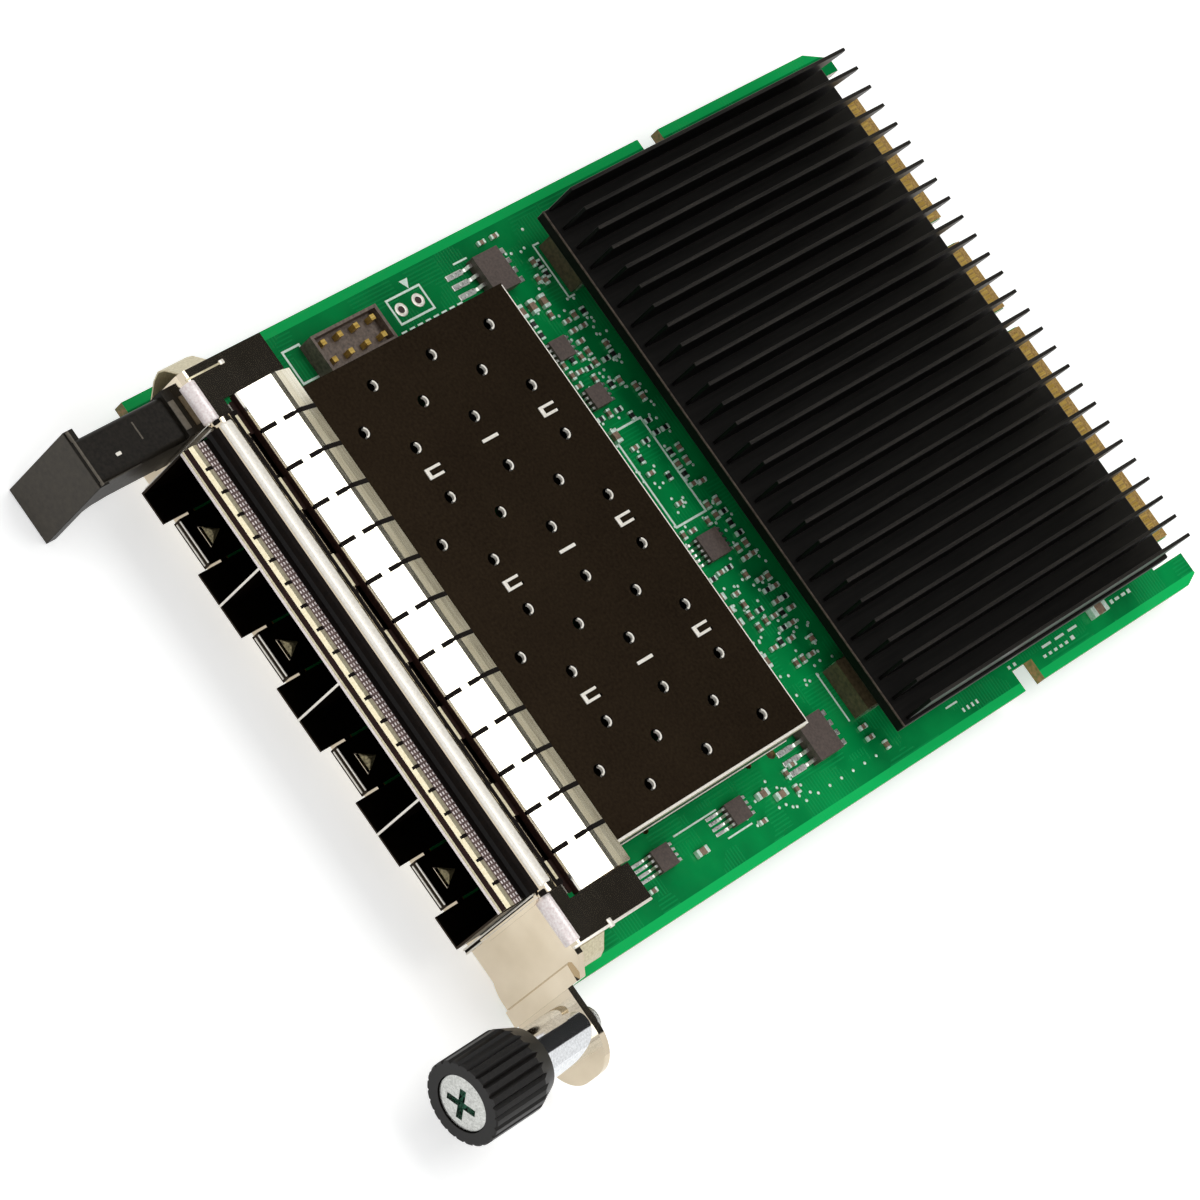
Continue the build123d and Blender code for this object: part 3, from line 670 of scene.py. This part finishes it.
# chip places are (x, y), and (x, y, half the body) for the small ones; a pad on the front and
# rear side of a power chip is (from, to, height, edge)
solder = {
    "powerChips": ((-31.85, 51.9), (29.9, 51.6)),
    "powerPitch": 1.27,
    "powerHalf": 0.34,
    "powerPads": ((-5.5, -3.0, 0.16, 0.06), (2.5, 3.9, 0.12, 0.05)),
    "smallChips": (
        (-20.9, 53.7, 1.25),
        (-14.4, 54.1, 1.25),
        (6.1, 55.4, 1.6),
        (32.0, 36.4, 1.3),
        (32.0, 24.3, 1.3),
    ),
    "smallPitch": 0.65,
    "smallHalf": (0.2, 0.18),
    "smallGap": (0.6, 0.5),
    "smallReach": 0.9,
    "longReach": 1.9,
    "rearReach": 0.8,
    "longFrom": 30,
    "smallHeight": 0.1,
}
pads = []
half = solder["powerHalf"]
for x, y in solder["powerChips"]:
    for index in range(4):
        padX = x + (index - 1.5) * solder["powerPitch"]
        for front, rear, height, edge in solder["powerPads"]:
            low = (padX - half, y + front, 0)
            pads.append(bevelledBox("pad", low, (padX + half, y + rear, height), edge, tinnedLead))
height = solder["smallHeight"]
for x, y, body in solder["smallChips"]:
    count = round(body * 2 / solder["smallPitch"])
    reach = solder["longReach"] if x > solder["longFrom"] else solder["smallReach"]
    front = y - body - solder["smallGap"][0]
    rear = y + body + solder["smallGap"][1]
    sides = ((front - reach, front), (rear, rear + solder["rearReach"]))
    for index in range(count):
        padX = x + (index - (count - 1) / 2) * solder["smallPitch"]
        for half, (near, far) in zip(solder["smallHalf"], sides):
            low = (padX - half, near, 0)
            pads.append(bevelledBox("pad", low, (padX + half, far, height), 0.04, tinnedLead))
joined("solderedPads", pads, cardBody)

# sizes are length, width, height; places are (x, y, turn); keepOut boxes stay free of small parts
smallParts = {
    "large": (1.6, 0.8, 0.62, firedCeramic),
    "small": (1.0, 0.5, 0.42, firedCeramic),
    "dark": (1.0, 0.55, 0.36, blackCeramic),
    "wide": (2.5, 1.25, 1.0, firedCeramic),
    "capShare": 0.24,
    "largePlaces": (
        (31.9, 41.0, 90),
        (33.0, 43.2, 90),
        (-26.6, 52.4, 0),
        (-26.6, 54.2, 0),
        (-26.6, 56.0, 0),
        (-9.6, 51.5, 0),
        (-9.6, 53.3, 0),
        (11.5, 52.0, 90),
        (13.2, 52.0, 90),
        (14.9, 52.0, 90),
        (20.0, 50.5, 0),
        (20.0, 52.3, 0),
        (-17.5, 48.0, 90),
        (-3.0, 49.0, 0),
        (33.6, 29.5, 90),
    ),
    "widePlace": (34.75, 98.1, 90),
    "smallPlaces": (
        (31.4, 45.6, 0),
        (33.4, 45.6, 0),
        (34.4, 39.0, 90),
        (30.9, 47.0, 90),
        (34.3, 21.0, 90),
        (34.3, 18.4, 90),
        (-35.6, 53.5, 90),
        (-35.6, 55.6, 90),
        (-31.0, 58.2, 0),
        (-28.6, 58.2, 0),
        (34.6, 60.0, 0),
        (31.6, 58.6, 90),
        (33.0, 58.6, 90),
    ),
    "keepOut": (
        (-35.0, 46.0, -29.0, 56.0),
        (26.6, 46.0, 33.0, 55.8),
        (-33.2, 59.2, -25.2, 65.0),
        (23.4, 57.2, 31.0, 63.0),
    ),
    "columns": 38,
    "columnFirst": -30.6,
    "columnPitch": 1.42,
    "rows": (53.1, 54.5, 55.9, 57.3, 58.7, 60.1),
    "framed": ((-7.5, 54.6), (-5.9, 54.6), (-4.3, 54.6), (-7.5, 56.6), (-3.0, 56.6), (0.2, 55.4)),
    "frame": (-10.6, 52.8, 2.8, 58.6),
    "skip": 0.42,
    "jitter": 0.15,
}


def chipPart(name, length, width, height, body):
    # ceramic block with a tinned cap on each end, standing on its solder
    low = (-length / 2 + 0.05, -width / 2, 0.03)
    parts = [bevelledBox(name, low, (length / 2 - 0.05, width / 2, height), 0.04, body)]
    outer = length / 2 + 0.06
    inner = length / 2 - length * smallParts["capShare"]
    for near, far in ((-outer, -inner), (inner, outer)):
        low = (near, -width / 2 - 0.04, 0)
        high = (far, width / 2 + 0.04, height + 0.04)
        parts.append(bevelledBox(name, low, high, 0.07, solderBright))
    return merged(parts)


def inside(x, y, box):
    return box[0] < x < box[2] and box[1] < y < box[3]


patterns = {name: chipPart(name, *smallParts[name]) for name in ("large", "small", "dark", "wide")}
chips = [copyAt(patterns["large"], *place) for place in smallParts["largePlaces"]]
chips.append(copyAt(patterns["wide"], *smallParts["widePlace"]))
taken = [(x - 1.4, y - 1.4, x + 1.4, y + 1.4) for x, y, turn in smallParts["largePlaces"]]
for x, y, body in solder["smallChips"]:
    taken.append((x - body - 0.4, y - body - 1.6, x + body + 0.4, y + body + 1.5))
taken += smallParts["keepOut"]
places = []
for column in range(smallParts["columns"]):
    for y in smallParts["rows"]:
        places.append((smallParts["columnFirst"] + column * smallParts["columnPitch"], y))
framedRows = [y for x, y in smallParts["framed"]]
for x, y in places + list(smallParts["framed"]):
    inFrame = inside(x, y, smallParts["frame"])
    if any(inside(x, y, box) for box in taken) or (inFrame and y not in framedRows):
        continue
    if rng.random() < smallParts["skip"] and not inFrame:
        continue
    pattern = patterns[rng.choice(("small", "small", "dark"))]
    nearX = x + rng.uniform(-smallParts["jitter"], smallParts["jitter"])
    nearY = y + rng.uniform(-smallParts["jitter"], smallParts["jitter"])
    chips.append(copyAt(pattern, nearX, nearY, rng.choice((0, 90))))
chips += [copyAt(patterns["small"], *place) for place in smallParts["smallPlaces"]]
for pattern in patterns.values():
    bpy.data.objects.remove(pattern)
chipGroup = joined("chipResistorsAndCapacitors", chips, cardBody)
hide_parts("small_passives")

# the gold ground under the contacts on the tongue's upper face
tongue = {
    "lands": ((-31.0, -13.5), (-10.0, -0.7), (2.1, 19.9), (22.4, 31.8)),
    "front": 110.0,
    "rear": 114.9,
}
lands = []
for left, right in tongue["lands"]:
    low = (left, tongue["front"], -0.03)
    lands.append(bevelledBox("land", low, (right, tongue["rear"], 0.02), 0.02, goldLand))
joined("tongueLand", lands, cardBody)
print("soldered parts done")


# ---- heatsink, its fins undercut at the rear end

sink = {
    "base": ((-34.3, 58.2, 4.7), (34.4, 106.6, 6.2)),
    "frontEdge": ((-34.3, 58.14, 6.08), (34.4, 58.34, 6.26)),
    "pedestal": ((-11.5, 72.5, 3.6), (11.5, 95.5, 4.75)),
    "fin": ((-0.21, 59.2, 6.15), (0.21, 106.6, 11.0)),
    "finFirst": -34.1,
    "finPitch": 2.61,
    "fins": 27,
    "undercut": 4.15,
    "undercutFrom": (106.0, 7.0),
    "posts": ((-29.5, 67.0), (29.5, 67.0), (-29.5, 102.0), (29.5, 102.0)),
    "postRadius": 2.5,
    "postHeight": 4.75,
    "boreRadius": 1.25,
    "boreDepth": 3.4,
}
fin = bevelledBox("fin", *sink["fin"], 0.05, anodised, 1)


def atRearFoot(edge):
    ends = [fin.matrix_world @ fin.data.vertices[index].co for index in edge.vertices]
    rear, low = sink["undercutFrom"]
    return all(end.y > mm(rear) and end.z < mm(low) for end in ends)


editSelected(fin, "edges", atRearFoot)
bpy.ops.mesh.bevel(offset=mm(sink["undercut"]), segments=1, affect="EDGES")
bpy.ops.object.mode_set(mode="OBJECT")
applyAll(fin)
sinkPieces = [
    bevelledBox("base", *sink["base"], 0.15, anodised),
    bevelledBox("pedestal", *sink["pedestal"], 0.2, anodised),
    # a painted highlight along the base's front top edge
    bevelledBox("frontEdge", *sink["frontEdge"], 0.04, paintedEdgeHighlight),
]
for index in range(sink["fins"]):
    sinkPieces.append(copyAt(fin, sink["finFirst"] + index * sink["finPitch"], 0))
bpy.data.objects.remove(fin)
for x, y in sink["posts"]:
    nothingSelected()
    bpy.ops.mesh.primitive_cylinder_add(
        vertices=40,
        radius=mm(sink["postRadius"]),
        depth=mm(sink["postHeight"]),
        location=(mm(x), mm(y), mm(sink["postHeight"] / 2)),
    )
    post = bpy.context.active_object
    editSelected(post, "polygons", lambda face: face.normal.z < -0.5)
    bpy.ops.mesh.inset(thickness=mm(sink["postRadius"] - sink["boreRadius"]))
    upward = {"value": (0, 0, mm(sink["boreDepth"]))}
    bpy.ops.mesh.extrude_region_move(TRANSFORM_OT_translate=upward)
    bpy.ops.object.mode_set(mode="OBJECT")
    sinkPieces.append(finishedWith(post, 0.1, anodised))
finned = joined("finnedHeatsink", sinkPieces, cardBody)
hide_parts("heatsink")
print("heatsink done")


# ---- painted highlights and painted shade along the punched and folded edges of the cage and the faceplate

cage = {
    "top": 9.8,
    "dividers": (-14.25, 0.0, 14.25),
    "ports": (-21.375, -7.125, 7.125, 21.375),
    "ventRim": 0.66,
    "ventWall": 0.2,
    "ventDepth": 0.4,
    "ventFar": (0.34, 0.94, 0.18),
    "sideRows": (21.0, 30.1, 39.2),
    "middleRows": (16.4, 25.5, 34.7),
    "ventOffset": 3.97,
    "lugRows": (21.3, 39.2),
    "lug": (
        (-0.64, -1.23, 0.64, -0.72, 0.12),
        (-0.64, -1.0, -0.32, 1.1, 0.08),
        (0.32, -1.0, 0.64, 1.0, 0.05),
    ),
    "slotRow": 30.15,
    "lipHeights": (0.42, -0.35),
    "edgeHighlights": (
        ("rear", (-28.5, 43.8, 9.72), (28.5, 43.93, 9.84), 0.04, paleNickelAndHighlight),
        ("right", (28.42, 1.6, 9.6), (28.72, 43.9, 9.86), 0.08, paleNickelAndHighlight),
        ("right", (28.66, 1.6, 9.0), (28.76, 43.9, 9.2), 0.04, springCreamAndHighlight),
        ("right", (28.66, 1.6, 5.1), (28.8, 43.9, 5.3), 0.05, paleNickelAndHighlight),
    ),
    "wedge": (1.35, 0.35, 0.5),
    "wedgePlace": (-0.45, 0.82),
}
top = cage["top"]
nothingSelected()
bpy.ops.mesh.primitive_cylinder_add(
    vertices=24,
    radius=mm(cage["ventRim"]),
    depth=mm(cage["ventDepth"]),
    end_fill_type="NOTHING",
    location=(0, 0, mm(top - 0.24)),
)
rim = bpy.context.active_object
slantX, slantY, reach = cage["ventFar"]


def onNearSide(face):
    # only the far crescent of each rim is kept, a painted highlight on the hole's far wall
    return face.center.x * slantX + face.center.y * slantY < mm(reach)


editSelected(rim, "polygons", onNearSide)
bpy.ops.mesh.delete(type="FACE")
bpy.ops.object.mode_set(mode="OBJECT")
wall = rim.modifiers.new("wall", "SOLIDIFY")
wall.thickness = mm(cage["ventWall"])
wall.offset = -1
rim.data.materials.append(paleNickelAndHighlight)
applyAll(rim)
bpy.ops.object.shade_smooth_by_angle(angle=math.radians(40))
spots = [(port, y) for port in cage["ports"] for y in cage["middleRows"]]
for port in cage["ports"]:
    for x in (port - cage["ventOffset"], port + cage["ventOffset"]):
        spots += [(x, y) for y in cage["sideRows"]]
rims = [copyAt(rim, x, y) for x, y in spots[1:]] + [rim]
rim.location = (mm(spots[0][0]), mm(spots[0][1]), 0)
joined("ventRims", rims, cardBody)

# the cage's edge lines, the lugs and tabs at the dividers, the dividers' front edges and the port lips
# are painted highlights
edges = boxRow(cage["edgeHighlights"])
for x in cage["dividers"]:
    for y in cage["lugRows"]:
        for left, near, right, far, lift in cage["lug"]:
            low = (x + left, y + near, top - 0.2)
            edges.append(bevelledBox("lug", low, (x + right, y + far, top + lift), 0.06, paleNickelAndHighlight))
    low = (x - 0.49, cage["slotRow"] - 1.2, top - 0.3)
    high = (x - 0.11, cage["slotRow"] + 1.2, top + 0.06)
    edges.append(bevelledBox("tab", low, high, 0.05, paleNickelAndHighlight))
    edges.append(bevelledBox("edge", (x - 0.13, -4.93, 0.35), (x + 0.13, -4.78, 9.6), 0.04, paleNickelAndHighlight))
for port in cage["ports"]:
    for z in cage["lipHeights"]:
        low = (port - 2.6, -2.98, z)
        edges.append(bevelledBox("lip", low, (port + 2.6, -2.84, z + 0.22), 0.05, paleNickelAndHighlight))
joined("cageEdges", edges, cardBody)

wedges = []
foot, tip, height = cage["wedge"]
for port in cage["ports"]:
    nothingSelected()
    bpy.ops.mesh.primitive_cone_add(
        vertices=3,
        radius1=mm(foot),
        radius2=mm(tip),
        depth=mm(height),
        location=[mm(value) for value in (port, *cage["wedgePlace"])],
    )
    wedges.append(finishedWith(bpy.context.active_object, 0.08, brass))
joined("latchWedges", wedges, cardBody)

plate = {
    "foldEnds": ((-34.3, -29.4), (29.2, 35.0)),
    "foldRadius": 1.04,
    "foldHeight": 10.6,
    "bead": ((-28.95, -0.72, 11.35), (28.7, 1.02, 12.42)),
    "beadRound": 0.52,
    "edgeHighlights": (
        ("flange", (35.28, -1.0, 11.2), (35.58, 10.95, 11.66), 0.08, paleNickelAndHighlight),
        ("flange", (34.78, 4.35, 11.3), (35.75, 4.95, 11.68), 0.08, paleNickelAndHighlight),
        ("flange", (-34.62, -0.6, 11.5), (-34.4, 4.6, 11.65), 0.05, springCreamAndHighlight),
        ("flange", (-34.8, 4.3, 11.5), (-34.3, 4.95, 11.7), 0.08, paleNickelAndHighlight),
    ),
    "rims": ((-29.5, -28.75), (28.55, 29.25)),
    "rimHeights": (-3.4, 11.5),
}
# the window bead, the flange lines, the rim lines and the bends are painted highlights, and the dark
# strip inside each window rim is painted shade
edges = [bevelledBox("bead", *plate["bead"], plate["beadRound"], paleNickelAndHighlight, 5)]
edges += boxRow(plate["edgeHighlights"])
low, high = plate["rimHeights"]
for left, right in plate["rims"]:
    edges += boxRow(
        (
            ("rim", (left, -1.36, low), (left + 0.22, -1.05, high), 0.09, paleNickelAndHighlight),
            ("rim", (right - 0.2, -1.36, low), (right, -1.05, high), 0.09, paleNickelAndHighlight),
            ("rim", (left + 0.2, -1.2, low), (right - 0.2, -1.04, high - 0.1), 0.03, slitShade),
        )
    )
for left, right in plate["foldEnds"]:
    nothingSelected()
    bpy.ops.mesh.primitive_cylinder_add(
        vertices=48,
        radius=mm(plate["foldRadius"]),
        depth=mm(right - left),
        rotation=(0, math.radians(90), 0),
        location=(mm((left + right) / 2), 0, mm(plate["foldHeight"])),
    )
    edges.append(finishedWith(bpy.context.active_object, 0.15, pinkHighlight))
whole = joined("plateEdges", edges, cardBody)
nothingSelected()
whole.select_set(True)
bpy.context.view_layer.objects.active = whole
bpy.ops.object.shade_smooth_by_angle(angle=math.radians(40))

# painted shade between the ridge, the slot and the fingers, and painted highlight lines on the hooks'
# edges; a slit's slopes run from (y, z) at the rear to (y, z) at the front
fingers = {
    "pitch": 4.75,
    "half": 30.875,
    "count": 13,
    "slit": 0.26,
    "slitSlopes": (
        ((5.35, 12.4), (3.4, 12.08), 0.1),
        ((7.85, 12.64), (6.4, 12.48), 0.1),
        ((9.0, 12.56), (8.35, 12.66), 0.06),
        ((12.0, 11.1), (8.95, 12.6), 0.1),
    ),
    "hook": 2.0,
    "hookEnds": (-28.8, 28.7),
    "shades": (
        ("ridgeFoot", (-28.6, -1.42, 11.0), (28.6, -0.78, 11.94), 0.05, slitShade),
        ("ridgeEnd", (-29.36, -1.0, 11.5), (-28.9, 2.15, 12.24), 0.08, slitShade),
        ("ridgeEnd", (28.75, -1.0, 11.5), (29.36, 2.15, 12.24), 0.08, slitShade),
        ("fingerFront", (-30.9, 3.28, 10.95), (30.9, 3.36, 11.86), 0.02, slotDarkShade),
    ),
}
shades = boxRow(fingers["shades"])
shades.append(leaning("ridgeRear", -29.3, 29.3, (1.45, 12.27), (0.85, 12.2), 0.1, slitShade))
shades.append(leaning("ridgeRear", -29.3, 29.3, (2.2, 11.64), (1.4, 12.28), 0.1, slitShade))
for index in range(0, fingers["count"], 2):
    middle = -fingers["half"] + (index + 0.5) * fingers["pitch"]
    left = middle - fingers["hook"]
    right = middle + fingers["hook"]
    shades.append(bevelledBox("hook", (left, 2.72, 11.1), (right, 3.4, 11.2), 0.03, slotDarkShade))
    left = max(left, fingers["hookEnds"][0])
    right = min(right, fingers["hookEnds"][1])
    low = (left, 1.45, 11.7)
    shades.append(bevelledBox("hookEdge", low, (right, 1.9, 12.26), 0.06, springCreamAndHighlight))
for index in range(1, fingers["count"]):
    middle = -fingers["half"] + index * fingers["pitch"]
    left = middle - fingers["slit"]
    right = middle + fingers["slit"]
    for rear, front, thick in fingers["slitSlopes"]:
        shades.append(leaning("slit", left, right, rear, front, thick, slitShade))
    low = (left + 0.06, 7.7, 12.4)
    shades.append(bevelledBox("slit", low, (right - 0.06, 8.5, 12.69), 0.02, slitShade))
joined("slotShades", shades, cardBody)

# the sprung lip of the cage mouth: painted shade in its grooves, notches and teeth, fine painted
# highlight lines, and a painted highlight on its front edge
lip = {
    "half": 28.4,
    "pitch": 2.84,
    "count": 20,
    "lines": (-2.8, -2.42, -2.04),
    "lineWidth": 0.16,
    "notch": ((0.2, (-3.05, 10.12), (-3.8, 10.44), 0.14), (0.16, (-3.75, 10.44), (-4.1, 10.38), 0.1)),
    "teeth": 99,
    "toothPitch": 0.568,
    "toothHalf": 0.12,
}
half = lip["half"]
grooves = boxRow(
    (
        ("groove", (-half, -2.95, 9.9), (half, -1.85, 9.99), 0.02, laneShade),
        ("groove", (-half, -1.85, 9.9), (half, -1.1, 9.99), 0.02, slitShade),
        ("edge", (-half, -4.99, 9.42), (half, -4.9, 9.8), 0.03, pinkHighlight),
    )
)
grooves.append(leaning("groove", -half, half, (-4.38, 10.34), (-4.82, 9.98), 0.08, slotDarkShade))
for y in lip["lines"]:
    high = (half, y + lip["lineWidth"], 10.05)
    grooves.append(bevelledBox("line", (-half, y, 9.96), high, 0.03, pinkHighlight))
for index in range(1, lip["count"]):
    x = -half + index * lip["pitch"]
    for wide, rear, front, thick in lip["notch"]:
        grooves.append(leaning("notch", x - wide, x + wide, rear, front, thick, slitShade))
for index in range(lip["teeth"]):
    x = (index + 0.5 - lip["teeth"] / 2) * lip["toothPitch"]
    low = (x - lip["toothHalf"], -2.86, 9.97)
    high = (x + lip["toothHalf"], -1.84, 10.07)
    grooves.append(bevelledBox("tooth", low, high, 0.02, laneShade))
joined("cageLip", grooves, cardBody)
print("bright edges done")


# ---- thumbscrew and pull tab

screwX = 42.0
screwZ = 3.8
# a dark green cross at the bottom of the screw head's recess: painted shade with a painted green
# reflection
recess = {"floor": -17.34, "long": 3.7, "deep": 0.08, "wide": 0.76, "turns": (-31, 59)}
arms = []
for angle in recess["turns"]:
    high = (recess["long"] / 2, recess["deep"] / 2, recess["wide"] / 2)
    arm = bevelledBox("recess", [-value for value in high], high, 0.02, recessShadeAndReflection)
    arm.rotation_euler = (0, math.radians(angle), 0)
    arm.location = (mm(screwX), mm(recess["floor"]), mm(screwZ))
    arms.append(arm)
joined("recessFloor", arms, turningBody)

thread = {"major": 1.46, "wire": 0.09, "first": 0.62, "pitch": 0.24, "count": 4}
nothingSelected()
bpy.ops.mesh.primitive_torus_add(
    major_radius=mm(thread["major"]),
    minor_radius=mm(thread["wire"]),
    major_segments=40,
    minor_segments=6,
    rotation=(math.radians(90), 0, 0),
)
turn = bpy.context.active_object
turn.data.materials.append(zincSteel)
applyAll(turn)
bpy.ops.object.shade_smooth()
turn.location.z = mm(screwZ)
crests = []
for index in range(thread["count"]):
    crests.append(copyAt(turn, screwX, thread["first"] + index * thread["pitch"]))
bpy.data.objects.remove(turn)
joined("screwThread", crests, turningBody)

# the return spring is wound as a screw between the washer and the barrel's floor
coil = {
    "radius": 2.05,
    "wire": 0.2,
    "turns": 5,
    "steps": 28,
    "front": -13.0,
    "rear": -2.0,
    "travel": 4.5,
}
nothingSelected()
bpy.ops.mesh.primitive_circle_add(
    vertices=8,
    radius=mm(coil["wire"]),
    location=(mm(coil["radius"]), 0, 0),
    rotation=(math.radians(90), 0, 0),
)
returnSpring = bpy.context.active_object
returnSpring.name = "returnSpring"
returnSpring.data.materials.append(zincSteel)
bpy.ops.object.transform_apply(location=True, rotation=True, scale=True)
winding = returnSpring.modifiers.new("winding", "SCREW")
winding.screw_offset = mm((coil["rear"] - coil["front"]) / coil["turns"])
winding.iterations = coil["turns"]
winding.steps = coil["steps"]
winding.render_steps = coil["steps"]
returnSpring.rotation_euler = (math.radians(-90), 0, 0)
returnSpring.location = (mm(screwX), mm(coil["front"]), mm(screwZ))
applyAll(returnSpring)
bpy.ops.object.mode_set(mode="EDIT")
bpy.ops.mesh.select_all(action="SELECT")
bpy.ops.mesh.fill_holes(sides=0)
bpy.ops.mesh.select_all(action="SELECT")
bpy.ops.mesh.normals_make_consistent(inside=False)
bpy.ops.object.mode_set(mode="OBJECT")
bpy.ops.object.shade_smooth_by_angle(angle=math.radians(60))
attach(returnSpring, cardBody)
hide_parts("thumbscrew_spring")
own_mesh(returnSpring)
print("thumbscrew details done")

# paler marks on the pull tab: its pad's lit front face painted lighter, a grey strip at the root,
# painted highlight lines on the rib and the pad's top edge, and a small bright spot
tabLightRows = (
    ("pad", (-36.15, -14.76, -4.6), (-29.45, -14.66, 8.05), 0.04, padFaceAndHighlight),
    ("root", (-33.9, -2.15, 8.95), (-30.4, -1.35, 9.08), 0.05, paleNylonMarks),
    ("line", (-33.9, -7.1, 8.45), (-31.8, -6.92, 8.56), 0.03, paleNylonMarks),
    ("brightSpot", (-31.8, -11.0, 8.45), (-31.4, -10.3, 8.6), 0.1, paleNickelAndHighlight),
    ("padTopHighlight", (-36.1, -14.5, 8.0), (-29.5, -14.3, 8.52), 0.04, paleNylonMarks),
)
marks = boxRow(tabLightRows)
# a painted highlight down the arm's right side
marks.append(leaning("side", -29.75, -29.62, (-8.6, 8.0), (-14.4, 8.0), 0.3, padFaceAndHighlight))
joined("tabLightMarks", marks, cardBody)


# ---- stage, light and camera

# the studio is in metres; a lamp is its name, place, size, depth, power and aim, and the camera's
# eye and axes were fitted to the photograph
studio = {
    "floorSize": 6.0,
    "floorMiddle": 0.05,
    "floorDrop": 0.0002,
    "floorLift": 0.45,
    "cardX": -0.12,
    "cardY": 0.75,
    "cardWidth": 1.1,
    "cardLow": 0.42,
    "cardHigh": 1.15,
    "lamps": (
        ("overheadSoftbox", (-0.05, 0.28, 0.9), 0.8, 0.44, 3.4, (-0.05, 0.28, 0)),
        ("frontSoftbox", (0.45, -0.6, 0.45), 0.5, 0.5, 1.6, (0, 0.05, 0)),
    ),
    "lens": 171.08,
    "sensor": 36.0,
    "eye": (0.060716, -0.359699, 0.459648),
    "right": (0.57005128, 0.65412571, 0.49715299),
    "down": (0.81651885, -0.38378388, -0.43128518),
    "forward": (-0.09131542, 0.65178946, -0.75288246),
}


def seenPlainly(tree):
    # 1 for camera, mirror and glass rays, which see the backdrop as plain white
    path = addNode(tree, "ShaderNodeLightPath")
    seen = path.outputs["Is Camera Ray"]
    for ray in ("Is Glossy Ray", "Is Transmission Ray"):
        most = addNode(
            tree, "ShaderNodeMath", {}, {0: seen, 1: path.outputs[ray]}, {"operation": "MAXIMUM"}
        )
        seen = most.outputs[0]
    return seen


def standingCard(name, colour, low, high):
    # a flat card behind the card's far end, outside the picture; metal mirrors it
    nothingSelected()
    bpy.ops.mesh.primitive_plane_add(
        size=1, location=(studio["cardX"], studio["cardY"], (low + high) / 2)
    )
    card = bpy.context.active_object
    card.name = name
    card.scale = (studio["cardWidth"], high - low, 1)
    card.rotation_euler = (math.radians(90), 0, 0)
    material, tree, shader, place = newMaterial(name, {"Roughness": 0.95})
    shader.inputs["Base Color"].default_value = linearColour(colour)
    card.data.materials.append(material)


def makeStudio():
    world = bpy.data.worlds.new("studio")
    bpy.context.scene.world = world
    world.use_nodes = True
    tree = world.node_tree
    tree.nodes.clear()
    white = addNode(tree, "ShaderNodeBackground", {"Color": (1, 1, 1, 1), "Strength": 1.0})
    soft = addNode(tree, "ShaderNodeBackground", {"Color": linearColour("#f2f4f8"), "Strength": 0.5})
    mix = addNode(
        tree,
        "ShaderNodeMixShader",
        links={0: seenPlainly(tree), 1: soft.outputs[0], 2: white.outputs[0]},
    )
    addNode(tree, "ShaderNodeOutputWorld", links={"Surface": mix.outputs[0]})

    nothingSelected()
    low = cadBox[0][2] - studio["floorDrop"]
    bpy.ops.mesh.primitive_plane_add(size=studio["floorSize"], location=(0, studio["floorMiddle"], low))
    floor = bpy.context.active_object
    floor.name = "studioFloor"
    material, tree, shader, place = newMaterial("paperSweep", {"Roughness": 0.9})
    shader.inputs["Base Color"].default_value = linearColour("#f4f4f2")
    shader.inputs["Emission Color"].default_value = (1, 1, 1, 1)
    lift = addNode(
        tree,
        "ShaderNodeMath",
        {1: studio["floorLift"]},
        {0: seenPlainly(tree)},
        {"operation": "MULTIPLY"},
    )
    tree.links.new(lift.outputs[0], shader.inputs["Emission Strength"])
    floor.data.materials.append(material)
    standingCard("blackCard", "#050505", studio["cardLow"], studio["cardHigh"])
    standingCard("paleCard", "#fff8e2", low, studio["cardLow"])

    for name, place, size, depth, power, aim in studio["lamps"]:
        bpy.ops.object.light_add(type="AREA", location=place)
        lamp = bpy.context.active_object
        lamp.name = name
        lamp.data.shape = "RECTANGLE"
        lamp.data.size = size
        lamp.data.size_y = depth
        lamp.data.energy = power
        lamp.rotation_euler = (Vector(aim) - Vector(place)).to_track_quat("-Z", "Y").to_euler()

    bpy.ops.object.camera_add(location=studio["eye"])
    camera = bpy.context.active_object
    camera.data.sensor_width = studio["sensor"]
    camera.data.lens = studio["lens"]
    # the camera's axes are the columns of its matrix: right, up and back
    camera.data.clip_start = 0.01
    camera.data.clip_end = 20
    columns = [Vector(studio["right"]), -Vector(studio["down"]), -Vector(studio["forward"])]
    turn = Matrix(columns).transposed().to_4x4()
    camera.matrix_world = Matrix.Translation(Vector(studio["eye"])) @ turn
    bpy.context.scene.camera = camera
    bpy.context.scene.view_settings.view_transform = "Standard"


makeStudio()
print("studio ready")
